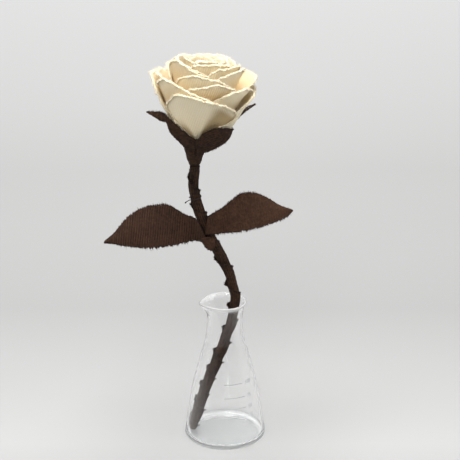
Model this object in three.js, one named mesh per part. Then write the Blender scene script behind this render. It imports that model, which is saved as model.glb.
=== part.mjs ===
// Handmade fabric rose standing in a small conical laboratory flask.
// Millimetres, +Z up. Origin: centre of the flask's flat underside, on the table.
// +X is the viewer's right, -Y faces the viewer, the pour spout points to -X.
import * as THREE from 'three';

// ---------------------------------------------------------------- dimensions
const FLASK_BASE_R = 29.0;        // radius of the flat underside
const FLASK_BODY_R = 31.9;        // widest radius, just above the rounded foot
const FLASK_HEIGHT = 115.6;
const FLASK_SIDES = 36;
const SPOUT_REACH = 3.0;          // how far the lip is drawn out at -X
const SPOUT_DROP = 2.1;           // how far the drawn lip dips
const SPOUT_HALF_ANGLE = 24;      // degrees, soft width of the spout

const WIRE_R = 1.5;               // wire core of the stem
const WRAP_BORE_R = 1.85;         // inside radius of the wound fabric strip
const WRAP_PITCH = 13.2;          // rise of the wound strip per turn
const WRAP_RIDGE = 0.45;          // how proud the upper edge of each turn stands
const WRAP_SIDES = 10;
const WRAP_ROWS = 38;

const PETAL_THICK = 0.5;
const PETAL_NU = 8;               // cells across a petal
const PETAL_NV = 5;               // cells up a petal
const PETAL_GAP = 0.45;           // air between neighbouring petals
const SLAB_REACH = 0.5;           // mesh steps over which a cloth slab's normals are taken
const TWIST = 1.2;                // twist of a cell, in thicknesses, from which its diagonals are matched
const SEPAL_GAP = 0.8;
const LEAF_THICK = 0.8;
const SEPAL_THICK = 0.8;

const HEAD_BASE = new THREE.Vector3(-22.2, 0.0, 245.5);   // foot of the flower head
const HEAD_TILT_X = 6.6;          // degrees, head nods to +X
const HEAD_TILT_Y = 4.0;          // degrees, head leans back to +Y

// stem centre line, [x, z, outer radius of the wound strip]
const STEM = [
  [-26.3, 3.6, 2.3], [-25.4, 7.0, 3.3], [-24.1, 12.0, 4.1], [-21.6, 19.8, 4.4], [-18.9, 29.4, 4.4],
  [-15.6, 39.1, 4.2], [-12.5, 48.6, 4.2], [-8.5, 58.2, 4.3], [-5.1, 67.7, 4.3],
  [-1.4, 77.2, 4.3], [1.4, 86.5, 3.9], [4.7, 95.8, 3.9], [6.6, 105.2, 3.8],
  [7.3, 110.7, 3.8], [8.0, 120.5, 3.8], [5.7, 130.2, 3.7], [2.9, 139.9, 3.7],
  [-1.2, 149.5, 4.2], [-6.3, 159.2, 4.1], [-12.0, 171.0, 4.2], [-17.0, 183.2, 4.2],
  [-19.5, 191.2, 4.2], [-22.5, 201.5, 3.9], [-23.6, 212.0, 3.9], [-23.0, 222.0, 3.8],
  [-22.9, 228.0, 3.8],
];

// flask outer profile [radius, height], lip excluded
const FLASK_OUTER = [
  [FLASK_BASE_R, 0.0], [30.6, 0.55], [31.6, 1.6], [FLASK_BODY_R, 3.2], [31.5, 6.5],
  [29.6, 18.5], [26.8, 37.7], [23.9, 50.9], [20.6, 64.1], [17.9, 74.0], [16.3, 79.6],
  [15.2, 84.6], [14.4, 90.0], [14.0, 95.6], [13.9, 101.0], [14.2, 105.4], [14.9, 109.2],
  [16.0, 112.3], [16.9, 113.9], [17.3, 114.7], [17.1, 115.4], [16.5, FLASK_HEIGHT],
];
const FLASK_INNER = [
  [15.9, 115.3], [15.2, 114.4], [14.4, 112.9], [13.2, 109.6], [12.4, 105.6], [12.0, 101.0],
  [12.1, 95.6], [12.5, 90.0], [13.3, 84.6], [14.4, 79.6], [16.0, 74.0], [18.7, 64.1],
  [22.0, 50.9], [24.9, 37.7], [27.8, 18.5], [29.5, 7.5], [29.6, 4.9], [28.6, 3.2], [26.6, 2.6],
];

// petals from the innermost to the outermost:
// name, centre azimuth (deg, 0 = -Y, 90 = +X), half width (deg), radius at reference height,
// reference height, flare power, root radius, root height, rim heights across the petal (5),
// radial offset at the left / right edge, outward lip, curl of the left / right corner, and the
// air under it where it isn't PETAL_GAP
const PETALS = [
  ['petal_a1', 20, 84, 8.6, 60, 0.40, 1.6, 22, [62, 64.6, 65.0, 64.6, 62], -0.9, 0.9, 0.2, 0, 0],
  ['petal_a2', -160, 84, 9.8, 60, 0.40, 1.7, 22, [61, 63.6, 64.2, 63.6, 61], -0.9, 0.9, 0.2, 0, 0],
  ['petal_a3', 90, 84, 12.8, 60, 0.42, 1.9, 18, [61, 63.9, 64.4, 63.9, 61], -0.8, 0.8, 0.3, 0, 0],
  ['petal_a4', -70, 84, 13.8, 60, 0.42, 2.0, 18, [61, 64.2, 64.8, 64.4, 61], -0.8, 0.8, 0.3, 0, 0],
  ['petal_b1', 140, 64, 17.4, 60, 0.46, 2.2, 13, [61, 63.4, 63.8, 62.6, 60], -0.6, 0.6, 0.4, 0, 0],
  ['petal_b2', -120, 64, 18.7, 60, 0.46, 2.3, 13, [60, 62.6, 63.6, 63.6, 61], -0.6, 0.6, 0.4, 0, 0],
  ['petal_b3', 20, 64, 19.4, 60, 0.50, 2.4, 13, [61.5, 64.2, 65.4, 64.6, 61], -0.6, 0.6, 0.4, 0, 0],
  ['petal_b4', -35, 62, 21.4, 60, 0.50, 2.6, 11, [61, 65.6, 62.4, 59.2, 56], -0.4, 0.6, 0.4, 0, 0],
  ['petal_c1', 160, 66, 23.8, 58, 0.56, 3.0, 8, [61, 63.2, 63.2, 61.4, 57], -0.4, 0.4, 0.5, 0, 0],
  ['petal_c2', 50, 56, 23.4, 58, 0.58, 3.2, 8, [57.0, 62.4, 64, 64.2, 62], -0.7, 0.6, 0.5, 0, 0],
  ['petal_c3', -22, 62, 24.8, 58, 0.60, 3.4, 8, [61, 65.4, 61.6, 57.2, 54], -0.4, 0.4, 0.5, 0, 0],
  ['petal_d1', -112, 48, 25.4, 56, 0.66, 3.9, 5, [50, 55, 57.5, 57.4, 55], -0.4, 0.4, 0.6, 0, 0],
  ['petal_d2', 160, 58, 26.6, 56, 0.66, 4.0, 5, [48, 56.0, 58, 56, 50], -0.5, 0.5, 1.0, 0, 0],
  ['petal_d3', 60, 52, 26.9, 55, 0.68, 4.0, 5, [54.0, 59.2, 62, 61.0, 53], -0.9, 0.5, 0.5, 0, 0],
  ['petal_d4', 2, 60, 27.8, 54, 0.70, 4.3, 5, [44, 56.4, 57.6, 54.3, 48], -0.6, 0.6, 0.5, 0, 0],
  ['petal_d5', 20, 52, 30.0, 50, 0.70, 4.7, 4, [44.6, 50.0, 53.2, 50.4, 45], -0.4, 0.9, 0.5, 0, 0],
  ['petal_e1', -84, 54, 31.0, 50, 0.76, 5.0, 3, [45, 51, 52, 51, 47.5], -0.2, 0.2, 1.6, 0, 0],
  ['petal_e2', -152, 50, 32.0, 50, 0.76, 5.2, 2, [42, 49, 51.5, 50, 42], -0.6, 0.6, 2.0, 0, 0],
  ['petal_e3', 120, 50, 34.6, 50, 0.76, 5.4, 2, [44, 52.6, 54, 52, 44], -0.9, 0.4, 4.4, -5.5, 0],
  ['petal_e4', 48, 46, 33.8, 48, 0.76, 5.6, 1, [38.4, 43.6, 49, 49.2, 46], -0.9, 0.2, 0.6, 0, 0.6],
  ['petal_e5', -25, 54, 33.4, 48, 0.76, 5.6, 1, [45, 52.4, 48.7, 43.8, 39.5], 0.4, 0.9, 0.6, 0, 0],
  ['petal_f1', 182, 52, 36.6, 48, 0.80, 6.2, 0, [36, 45, 47, 44, 34], 0.6, 1.0, 2.4, 0, 0],
  ['petal_f2', -106, 47.5, 35.5, 48, 0.80, 6.2, 0, [43, 48, 49.6, 48, 28], -1.0, -0.6, 2.0, 0, 2.0, 1.2],
  ['petal_f3', 95, 52, 41.5, 44, 0.54, 6.2, 0, [26, 36, 42.6, 45, 40], -6.5, 0.8, 1.2, 0, 0],
  ['petal_f4', 5, 56, 37.0, 46, 0.80, 6.4, 0, [34.5, 44.6, 41.8, 38.4, 30], 0.3, 0.8, 0.6, 0.5, 1.6],
];
// how the width of a petal opens from root to rim (fractions of the full width)
const PETAL_OPEN = [0.20, 0.34, 0.62, 0.88, 0.98, 1.0];
const OUTER_OPEN = [0.13, 0.20, 0.46, 0.83, 0.985, 1.0];      // front petal, left half
const OUTER_OPEN_RIGHT = [0.11, 0.16, 0.29, 0.55, 0.84, 1.0]; // its right half is cut narrower

// sepals: name, centre line as [azimuth deg, height above head foot, radius, half width mm]
const SEPALS = [
  ['sepal_right', [[122, -2.6, 9.4, 5.2], [124, 3, 13, 6.0], [125, 9, 19.5, 6.4], [127, 14.5, 28, 5.6], [129, 20.5, 40.5, 3.2], [129, 26.5, 55, 0.7]]],
  ['sepal_rear', [[168, -2.6, 9.4, 5.2], [167, 4, 14, 7.2], [166, 11, 21.5, 7.4], [165, 17, 29, 6.2], [164, 22, 36, 3.6], [163, 25, 41, 0.7]]],
  ['sepal_left_rear', [[-128, -2.6, 9.4, 5.2], [-128, 4, 12.5, 6.6], [-129, 11, 19, 6.8], [-130, 18, 25, 5.8], [-131, 25, 32, 3.6], [-132, 30, 37, 0.7]]],
];
// the two front sepals lean over sideways, so they are given by their two long edges in part coordinates, root to tip;
// seen from outside, the first edge is on the left when the tip is up
const SEPAL_BOW = 0.9;              // how far the middle stands out from the straight line between the edges
const FRONT_SEPALS = [
  ['sepal_front_left',
    [[-21.9, -10.3, 242.7], [-28.9, -10.5, 245.2], [-34.8, -13.0, 251.9], [-39.5, -15.0, 257.8], [-41.7, -15.0, 262.7], [-43.2, -14.0, 266.9], [-48.1, -12.5, 268.0], [-52.5, -11.0, 270.4], [-57.6, -8.5, 272.6]],
    [[-20.4, -18.2, 254.3], [-25.7, -19.0, 257.4], [-30.9, -19.0, 262.1], [-35.7, -17.2, 265.9], [-40.5, -15.8, 270.4], [-44.9, -12.5, 273.5], [-49.2, -10.0, 273.8], [-54.1, -9.0, 273.3], [-57.4, -8.0, 273.4]]],
  ['sepal_front_right',
    [[-21.6, -19.0, 254.5], [-16.7, -21.8, 259.4], [-12.3, -23.0, 263.0], [-7.8, -23.0, 264.7], [-2.7, -21.0, 264.7], [1.8, -15.4, 262.7], [5.3, -5.0, 258.4]],
    [[-20.7, -10.3, 239.5], [-14.0, -11.5, 242.2], [-8.7, -13.0, 245.0], [-4.2, -13.0, 247.4], [-0.1, -12.0, 250.1], [3.3, -9.5, 252.9], [5.1, -5.0, 256.7]]],
];

// leaf outlines [x, z] root -> tip, upper and lower edge
const LEAF_LEFT_UP = [[-22.0, 185.6], [-25.2, 186.9], [-31.3, 189.5], [-37.4, 193.4], [-44.0, 196.7], [-51.6, 197.0], [-58.8, 195.6], [-69.1, 190.7], [-77.4, 182.9], [-84.8, 173.4], [-92.4, 166.3]];
const LEAF_LEFT_LO = [[-10.6, 160.8], [-14.6, 163.9], [-19.0, 166.9], [-25.3, 166.9], [-33.6, 164.7], [-41.8, 162.7], [-52.1, 161.3], [-62.4, 161.0], [-72.7, 161.8], [-82.9, 163.9], [-92.8, 165.2]];
const LEAF_RIGHT_UP = [[-12.9, 187.0], [-8.6, 190.0], [-3.4, 193.2], [1.4, 197.2], [7.5, 202.7], [12.6, 206.3], [19.5, 207.0], [25.5, 205.9], [33.4, 202.0], [42.0, 196.6], [51.6, 193.0]];
const LEAF_RIGHT_LO = [[-15.3, 171.4], [-8.6, 172.4], [-2.2, 173.3], [5.0, 173.8], [12.0, 174.6], [19.8, 176.3], [27.2, 178.4], [34.2, 180.7], [42.3, 184.0], [48.2, 187.6], [52.2, 191.8]];

// ---------------------------------------------------------------- materials
function mat(name, hex, rough, metal, extra = {}) {
  const m = new THREE.MeshStandardMaterial({ color: new THREE.Color(hex), roughness: rough, metalness: metal, side: THREE.FrontSide, ...extra });
  m.name = name;
  return m;
}
const MAT_GLASS = mat('clear_glass', 0xdfe4e2, 0.06, 0.0, { transparent: true, opacity: 0.32 });
const MAT_PETAL = mat('cream_petal_cloth', 0xe3d8bd, 0.9, 0.0);
const MAT_ROLL = mat('cream_bud_cloth', 0xf1e9d6, 0.9, 0.0);
const MAT_LEAF_L = mat('brown_leaf_cloth', 0x493a33, 0.92, 0.0);
const MAT_SEPAL = mat('dark_brown_sepal_cloth', 0x46392a, 0.92, 0.0);
const MAT_STEM = mat('brown_stem_strip', 0x2f251e, 0.94, 0.0);
const MAT_WIRE = mat('stem_wire_steel', 0x6d6a66, 0.45, 0.9);
const MAT_THREAD = mat('brown_binding_thread', 0x3a2d25, 0.85, 0.0);

// ---------------------------------------------------------------- small maths
const RAD = Math.PI / 180;
const clamp = (x, a, b) => Math.min(b, Math.max(a, x));
const sstep = (x) => { const c = clamp(x, 0, 1); return c * c * (3 - 2 * c); };
function spline(v, s) {            // Catmull-Rom through evenly spaced values, s in 0..1
  const n = v.length, x = clamp(s, 0, 1) * (n - 1);
  const i = Math.min(Math.floor(x), n - 2), f = x - i;
  const p1 = v[i], p2 = v[i + 1];
  const p0 = i > 0 ? v[i - 1] : 2 * p1 - p2;
  const p3 = i < n - 2 ? v[i + 2] : 2 * p2 - p1;
  return 0.5 * (2 * p1 + (-p0 + p2) * f + (2 * p0 - 5 * p1 + 4 * p2 - p3) * f * f + (-p0 + 3 * p1 - 3 * p2 + p3) * f * f * f);
}
function splinePt(rows, s) {       // the same for rows of numbers
  const out = [];
  for (let k = 0; k < rows[0].length; k++) out.push(spline(rows.map((r) => r[k]), s));
  return out;
}

// head frame
const AX = new THREE.Vector3(Math.sin(HEAD_TILT_X * RAD), Math.sin(HEAD_TILT_Y * RAD), 0);
AX.z = Math.sqrt(1 - AX.x * AX.x - AX.y * AX.y);
const HX = new THREE.Vector3(1, 0, 0).addScaledVector(AX, -AX.x).normalize();
const HY = new THREE.Vector3().crossVectors(AX, HX);
function headPoint(az, z, r) {
  const a = az * RAD;
  return new THREE.Vector3().copy(HEAD_BASE).addScaledVector(AX, z)
    .addScaledVector(HX, r * Math.sin(a)).addScaledVector(HY, -r * Math.cos(a));
}

// a closed slab of the given thickness over a mapped sheet f(u, v), u and v in 0..1; its normals
// are taken over SLAB_REACH mesh steps each way, so that the two faces never cross at a sharp fold
function slab(f, thick, nu, nv) {
  const g = new THREE.BoxGeometry(1, thick, 1, nu, 1, nv);
  const p = g.attributes.position;
  const eu = SLAB_REACH / nu, ev = SLAB_REACH / nv, a = new THREE.Vector3(), b = new THREE.Vector3();
  for (let i = 0; i < p.count; i++) {
    const u = p.getX(i) + 0.5, v = 0.5 - p.getZ(i), side = p.getY(i) > 0 ? 1 : -1;
    const c = f(u, v);
    a.copy(f(Math.min(u + eu, 1), v)).sub(f(Math.max(u - eu, 0), v));
    b.copy(f(u, Math.min(v + ev, 1))).sub(f(u, Math.max(v - ev, 0)));
    const n = a.cross(b).normalize();
    c.addScaledVector(n, side * thick / 2);
    p.setXYZ(i, c.x, c.y, c.z);
  }
  // in a cell twisted by more than TWIST thicknesses the outer face is split along the inner
  // face's diagonal, so that the two never cross
  const t = g.index.array, { start, count } = g.groups[2];
  const at3 = (k, v) => v.fromBufferAttribute(p, k), c = new THREE.Vector3(), d = new THREE.Vector3();
  for (let k = start; k < start + count; k += 6) {
    const [i0, i1, i3] = [t[k], t[k + 1], t[k + 2]], i2 = t[k + 4];
    const twist = at3(i0, a).add(at3(i2, c)).sub(at3(i1, b)).sub(at3(i3, d)).length() / 2;
    if (twist > TWIST * thick) t.set([i0, i1, i2, i0, i2, i3], k);
  }
  g.deleteAttribute('uv');
  g.computeVertexNormals();
  return g;
}

// ---------------------------------------------------------------- nesting of the petals
// A map (azimuth x height) of the outermost radius filled so far; every new petal is
// draped over it, so the petals lie over each other like real cloth and never cross.
const NA = 144, Z_LO = -8, NZ = 84;
const flare = (z) => 6.4 + 30.6 * Math.pow(clamp((z + 4) / 50, 0, 2), 0.8);
let filled = new Float64Array(NA * NZ).fill(-99);        // radius minus flare()
const at = (H, i, j) => H[((i % NA) + NA) % NA * NZ + clamp(j, 0, NZ - 1)];
function soften(H) {
  let D = H;
  const pass = (fn) => { const E = new Float64Array(NA * NZ); for (let i = 0; i < NA; i++) for (let j = 0; j < NZ; j++) E[i * NZ + j] = fn(D, i, j); D = E; };
  const across = (M, i, j, n, sum) => { let v = sum ? 0 : -99; for (let k = -n; k <= n; k++) v = sum ? v + at(M, i + k, j) / (2 * n + 1) : Math.max(v, at(M, i + k, j)); return v; };
  const along = (M, i, j, n, sum) => { let v = sum ? 0 : -99; for (let k = -n; k <= n; k++) v = sum ? v + at(M, i, j + k) / (2 * n + 1) : Math.max(v, at(M, i, j + k)); return v; };
  pass((M, i, j) => across(M, i, j, 3, false));
  pass((M, i, j) => along(M, i, j, 2, false));
  pass((M, i, j) => across(M, i, j, 3, true));
  pass((M, i, j) => along(M, i, j, 2, true));
  return D;
}
function filledAt(H, az, z) {
  const x = az / 360 * NA, y = clamp(z - Z_LO, 0, NZ - 1.001);
  const i = Math.floor(x), j = Math.floor(y), f = x - i, g = y - j;
  return (at(H, i, j) * (1 - f) + at(H, i + 1, j) * f) * (1 - g) + (at(H, i, j + 1) * (1 - f) + at(H, i + 1, j + 1) * f) * g + flare(z);
}
// design(u, v) -> [azimuth, height, radius]; returns the draped sheet as a point function
function drape(design, thick, gap = PETAL_GAP) {
  const H = soften(filled), MU = 36, MV = 28, grid = [];
  for (let j = 0; j <= MV; j++) for (let i = 0; i <= MU; i++) {
    const u = i / MU, v = j / MV, d = design(u, v), q = design(u, Math.min(v + 0.02, 1)), o = design(u, Math.max(v - 0.02, 0));
    const slope = (q[2] - o[2]) / Math.max(q[1] - o[1], 0.05), grow = thick / 2 * Math.sqrt(1 + Math.min(slope * slope, 9));
    const m = filledAt(H, d[0], d[1]) + gap + grow, k = 0.5;
    const r = m > 0.5 ? 0.5 * (d[2] + m + Math.sqrt((d[2] - m) ** 2 + k * k)) : d[2];
    grid.push([d[0], d[1], r, grow]);
  }
  const cell = (u, v) => {
    const x = clamp(u, 0, 1) * MU, y = clamp(v, 0, 1) * MV, i = Math.min(Math.floor(x), MU - 1), j = Math.min(Math.floor(y), MV - 1), f = x - i, g = y - j;
    const A = grid[j * (MU + 1) + i], B = grid[j * (MU + 1) + i + 1], C = grid[(j + 1) * (MU + 1) + i], D = grid[(j + 1) * (MU + 1) + i + 1];
    return [0, 1, 2, 3].map((k) => (A[k] * (1 - f) + B[k] * f) * (1 - g) + (C[k] * (1 - f) + D[k] * f) * g);
  };
  for (let j = 0; j <= 200; j++) for (let i = 0; i <= 200; i++) {
    const c = cell(i / 200, j / 200);
    const a = ((Math.round(c[0] / 360 * NA) % NA) + NA) % NA, b = clamp(Math.round(c[1] - Z_LO), 0, NZ - 1);
    const r = c[2] + c[3] - flare(c[1]);
    if (r > filled[a * NZ + b]) filled[a * NZ + b] = r;
  }
  return (u, v) => { const c = cell(u, v); return headPoint(c[0], c[1], c[2]); };
}
function petalDesign(row) {
  const [name, az0, hw, R, Zr, pw, b, z0, tops, offL, offR, lip, curlL, curlR] = row;
  const outer = name === 'petal_f4';
  return (u, v) => {
    const s = 2 * u - 1, open = !outer ? PETAL_OPEN : s > 0 ? OUTER_OPEN_RIGHT : OUTER_OPEN;
    const top = spline(tops, u) - 2.2 * clamp((Math.abs(s) - 0.86) / 0.14, 0, 1) ** 2;
    const z = z0 + (top - z0) * v;
    let r = b + (R - b) * Math.pow(clamp((z + 4) / (Zr + 4), 0, 2), pw);
    r += (offL + (offR - offL) * u) * (0.35 + 0.65 * v) + lip * sstep((v - 0.72) / 0.28);
    r += (curlL * clamp(-s, 0, 1) ** 3 + curlR * clamp(s, 0, 1) ** 3) * sstep((v - 0.55) / 0.45);
    return [az0 + hw * spline(open, v) * s, z, r];
  };
}
function edgeDesign(first, second) {
  return (u, v) => {
    const a = splinePt(first, v), b = splinePt(second, v), s = 2 * u - 1;
    const p = new THREE.Vector3(...a).lerp(new THREE.Vector3(...b), u).sub(HEAD_BASE);
    const x = p.dot(HX), y = p.dot(HY);
    return [Math.atan2(x, -y) / RAD, p.dot(AX), Math.hypot(x, y) + SEPAL_BOW * (1 - s * s)];
  };
}
function sepalDesign(rows) {
  return (u, v) => {
    const [az, z, r, w] = splinePt(rows, v), s = 2 * u - 1;
    return [az + s * w / Math.max(r, 6) / RAD, z, r];
  };
}

// ---------------------------------------------------------------- build
const group = new THREE.Group();
group.name = 'fabric_rose_in_conical_flask';
function add(name, geometry, material) {
  const m = new THREE.Mesh(geometry, material);
  m.name = name;
  group.add(m);
  return m;
}

// flask: one blown body, lathe profile closed on the axis, spout drawn out of the lip
{
  const pts = [[0, 0], ...FLASK_OUTER, ...FLASK_INNER, [0, 2.6]].map(([r, z]) => new THREE.Vector2(r, z));
  const g = new THREE.LatheGeometry(pts, FLASK_SIDES);
  g.rotateX(Math.PI / 2);
  const p = g.attributes.position;
  for (let i = 0; i < p.count; i++) {
    const x = p.getX(i), y = p.getY(i), z = p.getZ(i), r = Math.hypot(x, y);
    if (z < 104 || r < 1) continue;
    const da = Math.atan2(y, -x) / RAD;                     // 0 at -X
    const w = Math.exp(-((da / SPOUT_HALF_ANGLE) ** 2)) * sstep((z - 104) / (FLASK_HEIGHT - 104));
    const k = (r + SPOUT_REACH * w) / r;
    p.setXYZ(i, x * k, y * k, z - SPOUT_DROP * w);
  }
  g.deleteAttribute('uv');
  g.computeVertexNormals();
  add('flask', g, MAT_GLASS);
}

// centre line of the hip, easing from the upright stem into the tilted head
const hipCurve = new THREE.CubicBezierCurve3(
  new THREE.Vector3(-22.85, 0, 228.7), new THREE.Vector3(-22.75, 0, 234.5),
  headPoint(0, -5.8, 0), headPoint(0, -0.4, 0));

// stem centre line as a curve in the plane y = 0
function stemAt(t) { return splinePt(STEM, t); }
function stemFrame(t) {
  const a = stemAt(Math.max(t - 0.002, 0)), b = stemAt(Math.min(t + 0.002, 1));
  const dx = b[0] - a[0], dz = b[1] - a[1], l = Math.hypot(dx, dz), c = stemAt(t);
  return { x: c[0], z: c[1], r: c[2], nx: dz / l, nz: -dx / l, tx: dx / l, tz: dz / l };
}
// sweep a lathed, closed profile along the stem: u around, w along
function sweep(rowsOuter, rowsInner, sides) {
  const prof = [...rowsOuter.map(([r, t]) => new THREE.Vector2(r, t)), ...(rowsInner ? [...rowsInner].reverse().map(([r, t]) => new THREE.Vector2(r, t)) : [])];
  if (rowsInner) prof.push(prof[0].clone());
  const g = new THREE.LatheGeometry(prof, sides);
  g.rotateX(Math.PI / 2);
  return g;
}
function bendAlongStem(g, ridge) {
  const p = g.attributes.position, total = 232;
  for (let i = 0; i < p.count; i++) {
    const x = p.getX(i), y = p.getY(i), t = p.getZ(i);
    let r = Math.hypot(x, y);
    const a = Math.atan2(y, x), f = stemFrame(clamp(t, 0, 1));
    if (ridge && r > WRAP_BORE_R + 0.05) {
      const ph = ((t * total / WRAP_PITCH + a / (2 * Math.PI)) % 1 + 1) % 1;
      r = r - WRAP_RIDGE + WRAP_RIDGE * ph;
    }
    const along = t < 0 ? t : t > 1 ? t - 1 : 0;
    p.setXYZ(i, f.x + r * Math.cos(a) * f.nx + along * f.tx, r * Math.sin(a), f.z + r * Math.cos(a) * f.nz + along * f.tz);
  }
  g.deleteAttribute('uv');
  g.computeVertexNormals();
  return g;
}
{
  const outer = [], inner = [];
  for (let i = 0; i <= WRAP_ROWS; i++) {
    const t = 0.0 + i / WRAP_ROWS;
    outer.push([Math.max(stemAt(t)[2], WRAP_BORE_R + 0.5), t]);
    inner.push([WRAP_BORE_R, t]);
  }
  add('stem_wrap', bendAlongStem(sweep(outer, inner, WRAP_SIDES), true), MAT_STEM);
}
{
  // wire core, running from the tip up into the flower head
  const line = [];
  for (let i = 0; i <= 34; i++) { const c = stemAt(i / 34); line.push(new THREE.Vector3(c[0], 0, c[1])); }
  line[0].add(new THREE.Vector3(0.1, 0, 0.3));
  const neck = [0.25, 0.5, 0.75, 1].map((t) => hipCurve.getPoint(t));
  const curve = new THREE.CatmullRomCurve3([...line, ...neck, headPoint(0, 3, 0), headPoint(0, 6.2, 0)]);
  const shape = new THREE.Shape();
  for (let k = 0; k < 8; k++) { const a = k / 8 * 2 * Math.PI; k ? shape.lineTo(WIRE_R * Math.cos(a), WIRE_R * Math.sin(a)) : shape.moveTo(WIRE_R, 0); }
  const g = new THREE.ExtrudeGeometry(shape, { steps: 46, bevelEnabled: false, extrudePath: curve });
  g.deleteAttribute('uv');
  add('stem_wire', g, MAT_WIRE);
}

// hip: the padded fabric cone under the flower, bored for the wire
function headLathe(profile, sides) {
  const g = new THREE.LatheGeometry(profile.map(([r, z]) => new THREE.Vector2(r, z)), sides);
  g.rotateX(Math.PI / 2);
  const p = g.attributes.position;
  for (let i = 0; i < p.count; i++) {
    const x = p.getX(i), y = p.getY(i), z = p.getZ(i);
    const q = new THREE.Vector3().copy(HEAD_BASE).addScaledVector(AX, z).addScaledVector(HX, x).addScaledVector(HY, y);
    p.setXYZ(i, q.x, q.y, q.z);
  }
  g.deleteAttribute('uv');
  g.computeVertexNormals();
  return g;
}
{
  const profile = [[1.9, 0], [4.4, 0], [5.2, 0.17], [6.1, 0.36], [6.9, 0.52], [7.5, 0.67], [8.2, 0.82], [8.9, 0.93], [9.1, 1], [1.9, 1], [1.9, 0]];
  const g = new THREE.LatheGeometry(profile.map(([r, z]) => new THREE.Vector2(r, z)), 18);
  g.rotateX(Math.PI / 2);
  const p = g.attributes.position;
  for (let i = 0; i < p.count; i++) {
    const t = clamp(p.getZ(i), 0, 1), c = hipCurve.getPoint(t), T = hipCurve.getTangent(t);
    const X = new THREE.Vector3(1, 0, 0).addScaledVector(T, -T.x).normalize(), Y = new THREE.Vector3().crossVectors(T, X);
    c.addScaledVector(X, p.getX(i)).addScaledVector(Y, p.getY(i));
    p.setXYZ(i, c.x, c.y, c.z);
  }
  g.deleteAttribute('uv');
  g.computeVertexNormals();
  add('hip', g, MAT_SEPAL);
}
// firm core the petals are stitched round
add('bud_core', headLathe([[1.9, 0.0], [8.3, 0.0], [8.6, 4], [8.6, 10], [8.1, 16], [7.0, 21], [5.6, 25], [4.2, 27.5], [0, 28], [0, 7.4], [1.9, 7.0], [1.9, 0.0]], 20), MAT_ROLL);

// rolled strip in the middle of the bud
{
  const turns = 1.9;
  const roll = (u, v) => {
    const a = u * turns * 360, r = 2.2 + 3.3 * u + 0.6 * v * v, top = 62.6 - 1.6 * sstep((u - 0.85) / 0.15) - 0.8 * (1 - u);
    return headPoint(40 + a, 29.5 + (top - 29.5) * v, r * (0.75 + 0.25 * v));
  };
  add('bud_roll', slab(roll, PETAL_THICK, 34, 4), MAT_ROLL);
  for (let i = 0; i < NA; i++) for (let j = 0; j < NZ; j++) {
    const z = Z_LO + j;
    if (z >= 28 && z <= 64) filled[i * NZ + j] = 6.6 - flare(z);
    else if (z >= -1 && z < 28) filled[i * NZ + j] = (z < 16 ? 8.7 : 8.7 - (z - 16) * 0.18) - flare(z);
    else if (z < -1) filled[i * NZ + j] = Math.max(4, 9.2 + (z + 0.5) * 0.85) - flare(z);
  }
}
for (const row of PETALS) add(row[0], slab(drape(petalDesign(row), PETAL_THICK, row[14] ?? PETAL_GAP), PETAL_THICK, PETAL_NU, PETAL_NV), MAT_PETAL);
for (const [name, first, second] of FRONT_SEPALS) add(name, slab(drape(edgeDesign(first, second), SEPAL_THICK, SEPAL_GAP), SEPAL_THICK, 4, 10), MAT_SEPAL);
for (const [name, rows] of SEPALS) add(name, slab(drape(sepalDesign(rows), SEPAL_THICK, SEPAL_GAP), SEPAL_THICK, 4, 8), MAT_SEPAL);

// leaves: stiff cloth blades, their roots wrapped round the front of the stem
function stemXAt(z) {
  for (let i = 1; i < STEM.length; i++) if (STEM[i][1] >= z) {
    const f = (z - STEM[i - 1][1]) / (STEM[i][1] - STEM[i - 1][1]);
    return STEM[i - 1][0] + (STEM[i][0] - STEM[i - 1][0]) * f;
  }
  return STEM[STEM.length - 1][0];
}
function leafSheet(up, lo, clear, back, tilt) {
  const D1 = 4.25 + clear, D2 = D1 * 1.32, dk = D2 * 0.88;
  const yk = -D1 * Math.sqrt(1 - 0.88 * 0.88), slope = D1 / D2 * 0.88 / Math.sqrt(1 - 0.88 * 0.88);
  return (u, v) => {
    const a = splinePt(lo, u), b = splinePt(up, u);
    const x0 = a[0] + (b[0] - a[0]) * v, z0 = a[1] + (b[1] - a[1]) * v;
    const d = Math.abs(x0 - stemXAt(z0)) * 0.92;
    const far = sstep((d - 4) / 22);
    let y = d < dk ? -D1 * Math.sqrt(1 - (d / D2) ** 2) : yk + 3.2 * (1 - Math.exp(-(d - dk) * slope / 3.2));
    y += far * (back * (d / 70) + tilt * (v - 0.5) * (b[1] - a[1]) + 0.9 * Math.cos(Math.PI * (v - 0.5)) * -1);
    // keep the outline where it is when the blade leans away from y = -3
    return new THREE.Vector3(x0 + (x0 - 4) * (y + 3) / 1417, y, z0 - 0.398 * (y + 3));
  };
}
const reversed = (f) => (u, v) => f(1 - u, v);
add('leaf_left', slab(reversed(leafSheet(LEAF_LEFT_UP, LEAF_LEFT_LO, 2.35, 6, 0.34)), LEAF_THICK, 18, 6), MAT_LEAF_L);
add('leaf_right', slab(leafSheet(LEAF_RIGHT_UP, LEAF_RIGHT_LO, 1.1, 15, 0.34), LEAF_THICK, 16, 6), MAT_LEAF_L);

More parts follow.
